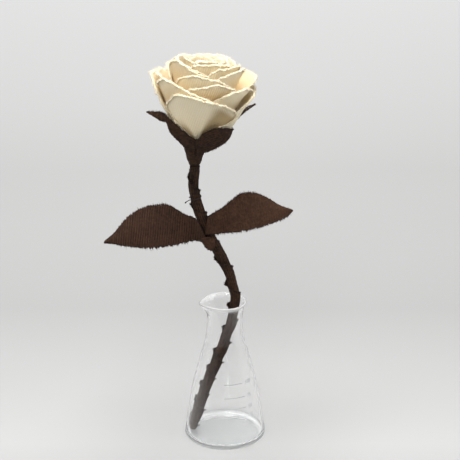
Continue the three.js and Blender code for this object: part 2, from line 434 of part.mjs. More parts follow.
// binding thread round the stem under the flower, one loose end to the left
{
  const pts = [new THREE.Vector3(-30.2, -2.2, 197.6), new THREE.Vector3(-28.6, -2.7, 199.4)];
  const f = stemFrame((() => { let lo = 0, hi = 1; for (let k = 0; k < 40; k++) { const m = (lo + hi) / 2; stemAt(m)[1] < 201.2 ? lo = m : hi = m; } return lo; })());
  for (let i = 0; i <= 18; i++) {
    const a = (212 + i * 18.5) * RAD, rr = 4.75, dz = i * 0.055;
    pts.push(new THREE.Vector3(f.x + rr * Math.cos(a) * f.nx, rr * Math.sin(a), f.z + dz + rr * Math.cos(a) * f.nz));
  }
  const shape = new THREE.Shape();
  for (let k = 0; k < 6; k++) { const a = k / 6 * 2 * Math.PI; k ? shape.lineTo(0.32 * Math.cos(a), 0.32 * Math.sin(a)) : shape.moveTo(0.32, 0); }
  const g = new THREE.ExtrudeGeometry(shape, { steps: 44, bevelEnabled: false, extrudePath: new THREE.CatmullRomCurve3(pts) });
  g.deleteAttribute('uv');
  add('tie_thread', g, MAT_THREAD);
}

export default group;
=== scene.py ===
# Looks for the handmade cloth rose in a conical flask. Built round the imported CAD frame, in metres.
import bpy, math
import numpy as np
from mathutils import Vector, Matrix


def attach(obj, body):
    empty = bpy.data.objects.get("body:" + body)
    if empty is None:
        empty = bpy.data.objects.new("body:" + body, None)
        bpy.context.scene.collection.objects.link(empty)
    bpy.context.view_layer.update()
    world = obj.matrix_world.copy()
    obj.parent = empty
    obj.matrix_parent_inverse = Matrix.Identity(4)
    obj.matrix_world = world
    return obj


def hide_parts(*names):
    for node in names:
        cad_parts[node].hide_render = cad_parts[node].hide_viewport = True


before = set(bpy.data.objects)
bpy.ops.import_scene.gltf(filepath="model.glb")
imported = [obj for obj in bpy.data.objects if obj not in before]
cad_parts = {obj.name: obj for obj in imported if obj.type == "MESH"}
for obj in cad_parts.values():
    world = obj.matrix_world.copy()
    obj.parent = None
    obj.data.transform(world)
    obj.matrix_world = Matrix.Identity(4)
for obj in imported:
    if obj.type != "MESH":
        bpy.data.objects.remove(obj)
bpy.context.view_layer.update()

MM = 0.001
RAD = math.pi / 180
scene = bpy.context.scene

# ------------------------------------------------------------------ numbers shared with the CAD
FLASK_HEIGHT = 115.6
SPOUT_REACH, SPOUT_DROP, SPOUT_HALF_ANGLE = 3.0, 2.1, 24.0
HEAD_BASE = np.array([-22.2, 0.0, 245.5])
TILT_X, TILT_Y = 6.6, 4.0
PETAL_THICK, PETAL_GAP = 0.5, 0.45
WIDE_GAP = {"petal_f2": 1.2}
SEPAL_THICK, SEPAL_GAP = 0.8, 0.8
LEAF_THICK = 0.8
WRAP_BORE_R, WRAP_PITCH = 1.85, 13.2

STEM = np.array([
    [-26.3, 3.6, 2.3], [-25.4, 7.0, 3.3], [-24.1, 12.0, 4.1], [-21.6, 19.8, 4.4], [-18.9, 29.4, 4.4],
    [-15.6, 39.1, 4.2], [-12.5, 48.6, 4.2], [-8.5, 58.2, 4.3], [-5.1, 67.7, 4.3],
    [-1.4, 77.2, 4.3], [1.4, 86.5, 3.9], [4.7, 95.8, 3.9], [6.6, 105.2, 3.8],
    [7.3, 110.7, 3.8], [8.0, 120.5, 3.8], [5.7, 130.2, 3.7], [2.9, 139.9, 3.7],
    [-1.2, 149.5, 4.2], [-6.3, 159.2, 4.1], [-12.0, 171.0, 4.2], [-17.0, 183.2, 4.2],
    [-19.5, 191.2, 4.2], [-22.5, 201.5, 3.9], [-23.6, 212.0, 3.9], [-23.0, 222.0, 3.8],
    [-22.9, 228.0, 3.8]])

PETALS = [
    # inside to outside: name, azimuth, half width, radius, at height, flare, root radius, root height,
    # rim heights, radial offset left / right, lip, curl of the left / right corner
    ("petal_a1", 20, 84, 8.6, 60, 0.40, 1.6, 22, (62, 64.6, 65.0, 64.6, 62), -0.9, 0.9, 0.2, 0, 0),
    ("petal_a2", -160, 84, 9.8, 60, 0.40, 1.7, 22, (61, 63.6, 64.2, 63.6, 61), -0.9, 0.9, 0.2, 0, 0),
    ("petal_a3", 90, 84, 12.8, 60, 0.42, 1.9, 18, (61, 63.9, 64.4, 63.9, 61), -0.8, 0.8, 0.3, 0, 0),
    ("petal_a4", -70, 84, 13.8, 60, 0.42, 2.0, 18, (61, 64.2, 64.8, 64.4, 61), -0.8, 0.8, 0.3, 0, 0),
    ("petal_b1", 140, 64, 17.4, 60, 0.46, 2.2, 13, (61, 63.4, 63.8, 62.6, 60), -0.6, 0.6, 0.4, 0, 0),
    ("petal_b2", -120, 64, 18.7, 60, 0.46, 2.3, 13, (60, 62.6, 63.6, 63.6, 61), -0.6, 0.6, 0.4, 0, 0),
    ("petal_b3", 20, 64, 19.4, 60, 0.50, 2.4, 13, (61.5, 64.2, 65.4, 64.6, 61), -0.6, 0.6, 0.4, 0, 0),
    ("petal_b4", -35, 62, 21.4, 60, 0.50, 2.6, 11, (61, 65.6, 62.4, 59.2, 56), -0.4, 0.6, 0.4, 0, 0),
    ("petal_c1", 160, 66, 23.8, 58, 0.56, 3.0, 8, (61, 63.2, 63.2, 61.4, 57), -0.4, 0.4, 0.5, 0, 0),
    ("petal_c2", 50, 56, 23.4, 58, 0.58, 3.2, 8, (57.0, 62.4, 64, 64.2, 62), -0.7, 0.6, 0.5, 0, 0),
    ("petal_c3", -22, 62, 24.8, 58, 0.60, 3.4, 8, (61, 65.4, 61.6, 57.2, 54), -0.4, 0.4, 0.5, 0, 0),
    ("petal_d1", -112, 48, 25.4, 56, 0.66, 3.9, 5, (50, 55, 57.5, 57.4, 55), -0.4, 0.4, 0.6, 0, 0),
    ("petal_d2", 160, 58, 26.6, 56, 0.66, 4.0, 5, (48, 56.0, 58, 56, 50), -0.5, 0.5, 1.0, 0, 0),
    ("petal_d3", 60, 52, 26.9, 55, 0.68, 4.0, 5, (54.0, 59.2, 62, 61.0, 53), -0.9, 0.5, 0.5, 0, 0),
    ("petal_d4", 2, 60, 27.8, 54, 0.70, 4.3, 5, (44, 56.4, 57.6, 54.3, 48), -0.6, 0.6, 0.5, 0, 0),
    ("petal_d5", 20, 52, 30.0, 50, 0.70, 4.7, 4, (44.6, 50.0, 53.2, 50.4, 45), -0.4, 0.9, 0.5, 0, 0),
    ("petal_e1", -84, 54, 31.0, 50, 0.76, 5.0, 3, (45, 51, 52, 51, 47.5), -0.2, 0.2, 1.6, 0, 0),
    ("petal_e2", -152, 50, 32.0, 50, 0.76, 5.2, 2, (42, 49, 51.5, 50, 42), -0.6, 0.6, 2.0, 0, 0),
    ("petal_e3", 120, 50, 34.6, 50, 0.76, 5.4, 2, (44, 52.6, 54, 52, 44), -0.9, 0.4, 4.4, -5.5, 0),
    ("petal_e4", 48, 46, 33.8, 48, 0.76, 5.6, 1, (38.4, 43.6, 49, 49.2, 46), -0.9, 0.2, 0.6, 0, 0.6),
    ("petal_e5", -25, 54, 33.4, 48, 0.76, 5.6, 1, (45, 52.4, 48.7, 43.8, 39.5), 0.4, 0.9, 0.6, 0, 0),
    ("petal_f1", 182, 52, 36.6, 48, 0.80, 6.2, 0, (36, 45, 47, 44, 34), 0.6, 1.0, 2.4, 0, 0),
    ("petal_f2", -106, 47.5, 35.5, 48, 0.80, 6.2, 0, (43, 48, 49.6, 48, 28), -1.0, -0.6, 2.0, 0, 2.0),   # lies further off its neighbour: WIDE_GAP
    ("petal_f3", 95, 52, 41.5, 44, 0.54, 6.2, 0, (26, 36, 42.6, 45, 40), -6.5, 0.8, 1.2, 0, 0),
    ("petal_f4", 5, 56, 37.0, 46, 0.80, 6.4, 0, (34.5, 44.6, 41.8, 38.4, 30), 0.3, 0.8, 0.6, 0.5, 1.6),
]
PETAL_OPEN = (0.20, 0.34, 0.62, 0.88, 0.98, 1.0)
OUTER_OPEN = (0.13, 0.20, 0.46, 0.83, 0.985, 1.0)
OUTER_OPEN_RIGHT = (0.11, 0.16, 0.29, 0.55, 0.84, 1.0)
SEPALS = [
    ("sepal_right", [(122, -2.6, 9.4, 5.2), (124, 3, 13, 6.0), (125, 9, 19.5, 6.4), (127, 14.5, 28, 5.6), (129, 20.5, 40.5, 3.2), (129, 26.5, 55, 0.7)]),
    ("sepal_rear", [(168, -2.6, 9.4, 5.2), (167, 4, 14, 7.2), (166, 11, 21.5, 7.4), (165, 17, 29, 6.2), (164, 22, 36, 3.6), (163, 25, 41, 0.7)]),
    ("sepal_left_rear", [(-128, -2.6, 9.4, 5.2), (-128, 4, 12.5, 6.6), (-129, 11, 19, 6.8), (-130, 18, 25, 5.8), (-131, 25, 32, 3.6), (-132, 30, 37, 0.7)]),
]
SEPAL_BOW = 0.9
FRONT_SEPALS = [
    ("sepal_front_left",
     [(-21.9, -10.3, 242.7), (-28.9, -10.5, 245.2), (-34.8, -13.0, 251.9), (-39.5, -15.0, 257.8), (-41.7, -15.0, 262.7), (-43.2, -14.0, 266.9), (-48.1, -12.5, 268.0), (-52.5, -11.0, 270.4), (-57.6, -8.5, 272.6)],
     [(-20.4, -18.2, 254.3), (-25.7, -19.0, 257.4), (-30.9, -19.0, 262.1), (-35.7, -17.2, 265.9), (-40.5, -15.8, 270.4), (-44.9, -12.5, 273.5), (-49.2, -10.0, 273.8), (-54.1, -9.0, 273.3), (-57.4, -8.0, 273.4)]),
    ("sepal_front_right",
     [(-21.6, -19.0, 254.5), (-16.7, -21.8, 259.4), (-12.3, -23.0, 263.0), (-7.8, -23.0, 264.7), (-2.7, -21.0, 264.7), (1.8, -15.4, 262.7), (5.3, -5.0, 258.4)],
     [(-20.7, -10.3, 239.5), (-14.0, -11.5, 242.2), (-8.7, -13.0, 245.0), (-4.2, -13.0, 247.4), (-0.1, -12.0, 250.1), (3.3, -9.5, 252.9), (5.1, -5.0, 256.7)]),
]
LEAF_LEFT_UP = [(-22.0, 185.6), (-25.2, 186.9), (-31.3, 189.5), (-37.4, 193.4), (-44.0, 196.7), (-51.6, 197.0), (-58.8, 195.6), (-69.1, 190.7), (-77.4, 182.9), (-84.8, 173.4), (-92.4, 166.3)]
LEAF_LEFT_LO = [(-10.6, 160.8), (-14.6, 163.9), (-19.0, 166.9), (-25.3, 166.9), (-33.6, 164.7), (-41.8, 162.7), (-52.1, 161.3), (-62.4, 161.0), (-72.7, 161.8), (-82.9, 163.9), (-92.8, 165.2)]
LEAF_RIGHT_UP = [(-12.9, 187.0), (-8.6, 190.0), (-3.4, 193.2), (1.4, 197.2), (7.5, 202.7), (12.6, 206.3), (19.5, 207.0), (25.5, 205.9), (33.4, 202.0), (42.0, 196.6), (51.6, 193.0)]
LEAF_RIGHT_LO = [(-15.3, 171.4), (-8.6, 172.4), (-2.2, 173.3), (5.0, 173.8), (12.0, 174.6), (19.8, 176.3), (27.2, 178.4), (34.2, 180.7), (42.3, 184.0), (48.2, 187.6), (52.2, 191.8)]

# ------------------------------------------------------------------ small maths
def sstep(x):
    x = np.clip(x, 0, 1)
    return x * x * (3 - 2 * x)


def spline(vals, s):
    """Catmull-Rom through evenly spaced values or rows, s in 0..1 (any shape)."""
    v = np.asarray(vals, float)
    s = np.clip(np.asarray(s, float), 0, 1)
    n = len(v)
    x = s * (n - 1)
    i = np.minimum(np.floor(x).astype(int), n - 2)
    f = x - i
    ext = np.concatenate([[2 * v[0] - v[1]], v, [2 * v[-1] - v[-2]]])
    p0, p1, p2, p3 = ext[i], ext[i + 1], ext[i + 2], ext[i + 3]
    if v.ndim > 1:
        f = f[..., None]
    return 0.5 * (2 * p1 + (-p0 + p2) * f + (2 * p0 - 5 * p1 + 4 * p2 - p3) * f ** 2 + (-p0 + 3 * p1 - 3 * p2 + p3) * f ** 3)


def waves(seed, *coords, scale=10.0, octaves=3):
    """Smooth seeded noise in about -1..1: sums of sines over the coordinates (mm), scale = largest wavelength."""
    r = np.random.default_rng(seed)
    out, amp, tot = 0.0, 1.0, 0.0
    for o in range(octaves):
        for _ in range(4):
            k = r.normal(size=len(coords))
            k = k / np.linalg.norm(k) * 2 * math.pi / (scale / 2 ** o) * r.uniform(0.7, 1.3)
            ph = r.uniform(0, 2 * math.pi)
            out = out + amp * np.sin(sum(c * kk for c, kk in zip(coords, k)) + ph)
        tot += amp * 2.0
        amp *= 0.5
    return out / tot


AX = np.array([math.sin(TILT_X * RAD), math.sin(TILT_Y * RAD), 0.0])
AX[2] = math.sqrt(1 - AX[0] ** 2 - AX[1] ** 2)
HX = np.array([1.0, 0, 0]) - AX * AX[0]
HX /= np.linalg.norm(HX)
HY = np.cross(AX, HX)


def head_point(az, z, r):
    a = np.asarray(az) * RAD
    z, r = np.asarray(z, float), np.asarray(r, float)
    a, z, r = np.broadcast_arrays(a, z, r)
    return HEAD_BASE + z[..., None] * AX + (r * np.sin(a))[..., None] * HX - (r * np.cos(a))[..., None] * HY


# ------------------------------------------------------------------ mesh helpers
def make_object(name, verts_mm, faces, uv=None, attrs=None, smooth=True):
    me = bpy.data.meshes.new(name)
    v = np.asarray(verts_mm, float) * MM
    me.from_pydata(v.tolist(), [], [tuple(int(i) for i in f) for f in faces])
    me.update()
    if uv is not None:
        layer = me.uv_layers.new(name="cloth")
        idx = np.zeros(len(me.loops), np.int32)
        me.loops.foreach_get("vertex_index", idx)
        layer.data.foreach_set("uv", np.asarray(uv, np.float32)[idx].ravel())
    for k, a in (attrs or {}).items():
        at = me.attributes.new(k, "FLOAT", "POINT")
        at.data.foreach_set("value", np.asarray(a, np.float32).ravel())
    if smooth:
        me.polygons.foreach_set("use_smooth", np.ones(len(me.polygons), bool))
    me.validate(clean_customdata=False)
    ob = bpy.data.objects.new(name, me)
    scene.collection.objects.link(ob)
    return ob


def vertex_normals(v, faces):
    n = np.zeros_like(v)
    q = np.array([f for f in faces if len(f) == 4], int).reshape(-1, 4)
    t = np.array([f for f in faces if len(f) == 3], int).reshape(-1, 3)
    if len(q):
        fn = np.cross(v[q[:, 2]] - v[q[:, 0]], v[q[:, 3]] - v[q[:, 1]])
        for k in range(4):
            np.add.at(n, q[:, k], fn)
    if len(t):
        fn = np.cross(v[t[:, 1]] - v[t[:, 0]], v[t[:, 2]] - v[t[:, 0]])
        for k in range(3):
            np.add.at(n, t[:, k], fn)
    l = np.linalg.norm(n, axis=1)
    l[l < 1e-12] = 1
    return n / l[:, None]


def thicken(v, faces, th, uv, attrs=None, th_of=None):
    """Closed shell round a mid surface: both faces and the rim between them."""
    n = vertex_normals(v, faces)
    h = (np.full(len(v), th / 2) if th_of is None else th_of / 2)[:, None]
    N = len(v)
    V = np.concatenate([v + n * h, v - n * h])
    F = [tuple(f) for f in faces] + [tuple(i + N for i in reversed(f)) for f in faces]
    edges = {}
    for f in faces:
        for a, b in zip(f, tuple(f[1:]) + (f[0],)):
            edges[(a, b)] = edges.get((a, b), 0) + 1
    for (a, b) in edges:
        if (b, a) not in edges:
            F.append((b, a, a + N, b + N))
    U = np.concatenate([uv, uv])
    A = {k: np.concatenate([x, x]) for k, x in (attrs or {}).items()}
    A["inside"] = np.concatenate([np.zeros(N), np.ones(N)])
    return V, F, U, A


def grid_faces(nu, nv, start=0, flip=False):
    """Quads of an (nv+1) x (nu+1) grid stored row by row."""
    out = []
    for j in range(nv):
        for i in range(nu):
            a = start + j * (nu + 1) + i
            f = (a, a + 1, a + nu + 2, a + nu + 1)
            out.append(tuple(reversed(f)) if flip else f)
    return out


def area_of(v, faces):
    s = 0.0
    for f in faces:
        p = v[list(f)]
        if len(f) == 4:
            s += 0.5 * np.linalg.norm(np.cross(p[2] - p[0], p[3] - p[1]))
        else:
            s += 0.5 * np.linalg.norm(np.cross(p[1] - p[0], p[2] - p[0]))
    return s


def tubes(paths, radii, sides=4, taper=True):
    """Many thin tapered threads as one closed mesh. paths: (m, n, 3) in mm, all with the same number of points."""
    P = np.asarray(paths, float)
    m, n, _ = P.shape
    T = np.gradient(P, axis=1)
    T /= np.linalg.norm(T, axis=2)[..., None] + 1e-12
    steep = np.abs(T[:, :1, 2:3]) > 0.8
    ref = np.where(steep, np.array([0.31, 0.77, 0.55]), np.array([0.1, 0.2, 0.97]))
    A = np.cross(T, np.broadcast_to(ref, T.shape))
    A /= np.linalg.norm(A, axis=2)[..., None] + 1e-12
    Bn = np.cross(T, A)
    rr = np.asarray(radii, float)[:, None] * (np.linspace(1, 0.45, n) if taper else np.ones(n))[None, :]
    ang = np.arange(sides) / sides * 2 * math.pi
    V = P[:, :, None, :] + rr[..., None, None] * (np.cos(ang)[:, None] * A[:, :, None, :] + np.sin(ang)[:, None] * Bn[:, :, None, :])
    V = V.reshape(-1, 3)
    base = (np.arange(m) * n * sides)[:, None, None]
    i = (np.arange(n - 1) * sides)[None, :, None]
    k = np.arange(sides)[None, None, :]
    k2 = (k + 1) % sides
    a, b = base + i + k, base + i + k2
    quads = np.stack([a, b, b + sides, a + sides], -1).reshape(-1, 4)
    F = [tuple(q) for q in quads.tolist()]
    for j in range(m):
        o = j * n * sides
        F.append(tuple(o + q for q in reversed(range(sides))))
        F.append(tuple(o + (n - 1) * sides + q for q in range(sides)))
    return V, F


# ------------------------------------------------------------------ materials
def nodes_of(name):
    m = bpy.data.materials.new(name)
    m.use_nodes = True
    nt = m.node_tree
    for n in list(nt.nodes):
        nt.nodes.remove(n)
    out = nt.nodes.new("ShaderNodeOutputMaterial")
    b = nt.nodes.new("ShaderNodeBsdfPrincipled")
    nt.links.new(b.outputs[0], out.inputs[0])
    return m, nt, b, out


def srgb(r, g, b):
    f = lambda c: (c / 255) / 12.92 if c / 255 <= 0.04045 else ((c / 255 + 0.055) / 1.055) ** 2.4
    return (f(r), f(g), f(b), 1.0)


def math_node(nt, op, a, b=None, c=None):
    n = nt.nodes.new("ShaderNodeMath")
    n.operation = op
    for k, x in enumerate((a, b, c)):
        if x is None:
            continue
        if isinstance(x, (int, float)):
            n.inputs[k].default_value = x
        else:
            nt.links.new(x, n.inputs[k])
    return n.outputs[0]


def mix_color(nt, fac, a, b, blend="MIX"):
    n = nt.nodes.new("ShaderNodeMix")
    n.data_type = "RGBA"
    n.blend_type = blend
    ins = [s for s in n.inputs if s.enabled] if False else n.inputs
    if isinstance(fac, (int, float)):
        n.inputs[0].default_value = fac
    else:
        nt.links.new(fac, n.inputs[0])
    for k, x in ((6, a), (7, b)):
        if isinstance(x, tuple):
            n.inputs[k].default_value = x
        else:
            nt.links.new(x, n.inputs[k])
    return n.outputs[2]


def ramp(nt, fac, stops):
    n = nt.nodes.new("ShaderNodeValToRGB")
    e = n.color_ramp.elements
    while len(e) < len(stops):
        e.new(0.5)
    for k, (p, c) in enumerate(stops):
        e[k].position = p
        e[k].color = c if isinstance(c, tuple) else (c, c, c, 1)
    nt.links.new(fac, n.inputs[0])
    return n.outputs[0]


def noise(nt, vec, scale, detail=3.0, rough=0.55):
    n = nt.nodes.new("ShaderNodeTexNoise")
    n.inputs["Scale"].default_value = scale
    n.inputs["Detail"].default_value = detail
    n.inputs["Roughness"].default_value = rough
    nt.links.new(vec, n.inputs["Vector"])
    return n.outputs["Fac"]


def cloth_material(name, light, dark, warp_mm, weft_mm, diagonal, bump_mm, thread=0.35, rough=0.9, sheen=0.25, painted_depth_shade=None, stain=0.25, rib=1.0,
                   stripes=False, contrast=0.55, edge=None, glow=0.0, speck=0.0):
    """Woven cloth. The weave lies on the piece's own flat coordinates (UV, in mm)."""
    m, nt, b, out = nodes_of(name)
    tc = nt.nodes.new("ShaderNodeTexCoord")
    uvn = nt.nodes.new("ShaderNodeUVMap")
    uvn.uv_map = "cloth"
    sep = nt.nodes.new("ShaderNodeSeparateXYZ")
    nt.links.new(uvn.outputs[0], sep.inputs[0])
    u, v = sep.outputs[0], sep.outputs[1]
    obj = tc.outputs["Object"]
    # slow wander of the threads
    wob = math_node(nt, "MULTIPLY", math_node(nt, "SUBTRACT", noise(nt, obj, 90.0, 2.0), 0.5), 0.55)
    uu = math_node(nt, "ADD", u, wob)
    vv = math_node(nt, "ADD", v, wob)
    k = 2 * math.pi
    if stripes:                                                          # ribs modelled in the mesh, kept in step
        # where the ribs are modelled in the mesh, the light tops and dark hollows below are painted shade kept in step
        # with them
        at = nt.nodes.new("ShaderNodeAttribute")
        at.attribute_name = "rib"
        rib01 = at.outputs["Fac"]
    else:
        diag = math_node(nt, "ADD", math_node(nt, "MULTIPLY", uu, k / warp_mm), math_node(nt, "MULTIPLY", vv, diagonal * k / weft_mm))
        rib01 = math_node(nt, "MULTIPLY_ADD", math_node(nt, "SINE", diag), 0.5, 0.5)
    fine = math_node(nt, "SINE", math_node(nt, "ADD", math_node(nt, "MULTIPLY", vv, k / (weft_mm * 0.5)), math_node(nt, "MULTIPLY", uu, k / (warp_mm * 2))))
    fine01 = math_node(nt, "MULTIPLY_ADD", fine, 0.5, 0.5)
    weave = math_node(nt, "ADD", math_node(nt, "MULTIPLY", rib01, rib), math_node(nt, "MULTIPLY", fine01, thread))
    weave = math_node(nt, "DIVIDE", weave, rib + thread)
    grain = noise(nt, obj, 1400.0, 3.0, 0.7)
    big = noise(nt, obj, 55.0, 3.0, 0.6)
    mid = noise(nt, obj, 260.0, 3.0, 0.6)
    # colour: thread tops a little lighter and hollows darker, partly the yarn's own tone and partly painted shade of
    # the weave's relief; slow stains
    col = mix_color(nt, math_node(nt, "MULTIPLY_ADD", weave, contrast, 0.5 - contrast / 2), dark, light)
    col = mix_color(nt, ramp(nt, big, [(0.30, 0.0), (0.72, stain)]), col, dark)
    col = mix_color(nt, ramp(nt, mid, [(0.40, 0.0), (0.75, stain * 0.7)]), col, light)
    col = mix_color(nt, ramp(nt, grain, [(0.45, 0.0), (0.85, 0.18)]), col, dark)
    if speck:                                                            # nubs of lint and worn spots
        nub = noise(nt, obj, 560.0, 4.0, 0.75)
        col = mix_color(nt, ramp(nt, nub, [(0.50, 0.0), (0.66, speck)]), col, dark)
        col = mix_color(nt, ramp(nt, nub, [(0.34, speck * 0.8), (0.46, 0.0)]), col, light)
    # painted shade: a warm darker tint, stronger the deeper the cloth lies below its rim (attribute depth)
    if painted_depth_shade is not None:
        at = nt.nodes.new("ShaderNodeAttribute")
        at.attribute_name = "depth"
        col = mix_color(nt, math_node(nt, "MULTIPLY", at.outputs["Fac"], painted_depth_shade[1]), col, painted_depth_shade[0], "MULTIPLY")
        at = nt.nodes.new("ShaderNodeAttribute")                         # painted shade where the cloth turns under and lies against its neighbour
        at.attribute_name = "shade"
        col = mix_color(nt, at.outputs["Fac"], col, srgb(186, 172, 149), "MULTIPLY")
    if edge is not None:                                                 # the cut edge: paler on the cream cloth, partly from the loose thread ends and partly as painted highlight; darker on the brown pieces
        at = nt.nodes.new("ShaderNodeAttribute")
        at.attribute_name = "edge"
        fac = at.outputs["Fac"]
        if glow:
            fac = math_node(nt, "MULTIPLY", fac, ramp(nt, noise(nt, obj, 820.0, 2.0, 0.6), [(0.42, 1.0), (0.60, 0.15)]))
        col = mix_color(nt, fac, col, edge)
        if glow:                                                         # painted shade in the gaps between the cut thread ends
            gaps = ramp(nt, noise(nt, obj, 1050.0, 2.0, 0.6), [(0.52, 0.0), (0.64, 0.75)])
            col = mix_color(nt, math_node(nt, "MULTIPLY", at.outputs["Fac"], gaps), col, srgb(176, 146, 98))
    nt.links.new(col, b.inputs["Base Color"])
    b.inputs["Roughness"].default_value = rough
    b.inputs["Sheen Weight"].default_value = sheen
    b.inputs["Sheen Roughness"].default_value = 0.5
    b.inputs["Sheen Tint"].default_value = light
    b.inputs["Specular IOR Level"].default_value = 0.2
    if glow:                                                             # light seeps through the thin cloth and warms the folds
        b.inputs["Subsurface Weight"].default_value = glow
        b.inputs["Subsurface Radius"].default_value = (1.0, 0.86, 0.52)
        b.inputs["Subsurface Scale"].default_value = 1.2 * MM
    h = math_node(nt, "ADD", math_node(nt, "MULTIPLY", weave, 1.0), math_node(nt, "MULTIPLY", grain, 0.5))
    h = math_node(nt, "ADD", h, math_node(nt, "MULTIPLY", mid, 0.8))
    bp = nt.nodes.new("ShaderNodeBump")
    bp.inputs["Strength"].default_value = 0.9
    bp.inputs["Distance"].default_value = bump_mm * MM
    nt.links.new(h, bp.inputs["Height"])
    nt.links.new(bp.outputs[0], b.inputs["Normal"])
    return m


MAT_PETAL = cloth_material("cream_petal_cloth", srgb(250, 243, 221), srgb(234, 220, 186), 1.7, 1.75, -0.12, 0.16,
                           thread=0.45, rough=0.88, sheen=0.12, painted_depth_shade=(srgb(228, 192, 120), 0.90), stain=0.16, contrast=0.38,
                           edge=srgb(238, 227, 199), glow=0.15)
MAT_ROLL = cloth_material("cream_bud_cloth", srgb(248, 241, 224), srgb(230, 214, 180), 1.6, 1.6, 0.0, 0.12,
                          thread=0.5, rough=0.88, sheen=0.12, painted_depth_shade=(srgb(232, 190, 126), 0.75), stain=0.10, contrast=0.5,
                          edge=srgb(247, 240, 220), glow=0.16)
MAT_LEAF = cloth_material("brown_leaf_cloth", srgb(83, 57, 43), srgb(19, 12, 9), 1.83, 1.1, 0.0, 0.16,
                          thread=0.45, rough=0.93, sheen=0.06, stain=0.45, stripes=True, contrast=0.9, edge=srgb(30, 21, 16), speck=0.45)
MAT_LEAF_R = cloth_material("brown_leaf_cloth_right", srgb(85, 58, 42), srgb(31, 20, 14), 1.3, 1.1, 0.0, 0.12,
                            thread=0.8, rough=0.93, sheen=0.08, stain=0.55, rib=0.8, stripes=True, contrast=0.7, edge=srgb(30, 21, 16), speck=0.55)
MAT_SEPAL = cloth_material("dark_brown_sepal_cloth", srgb(84, 59, 43), srgb(13, 8, 6), 1.4, 1.1, 0.0, 0.36,
                           thread=0.4, rough=0.93, sheen=0.08, stain=0.6, stripes=True, contrast=0.9, edge=srgb(28, 19, 14), speck=0.75)
MAT_STEM = cloth_material("brown_stem_strip", srgb(76, 53, 38), srgb(8, 5, 4), 1.5, 1.2, 0.0, 0.34,
                          thread=0.4, rough=0.94, sheen=0.06, stain=0.8, contrast=0.9, edge=srgb(22, 15, 11), speck=0.75)


def fibre_material(name, c1, c2):
    m, nt, b, out = nodes_of(name)
    tc = nt.nodes.new("ShaderNodeTexCoord")
    f = noise(nt, tc.outputs["Object"], 420.0, 3.0)
    nt.links.new(mix_color(nt, f, c1, c2), b.inputs["Base Color"])
    b.inputs["Roughness"].default_value = 0.85
    b.inputs["Sheen Weight"].default_value = 0.2
    b.inputs["Sheen Tint"].default_value = c2
    return m


MAT_FRAY = fibre_material("brown_frayed_threads", srgb(20, 13, 10), srgb(78, 54, 39))
MAT_THREAD = fibre_material("brown_binding_thread", srgb(20, 14, 11), srgb(44, 32, 25))
MAT_CREAM_FRAY = fibre_material("cream_frayed_threads", srgb(214, 196, 160), srgb(254, 249, 236))


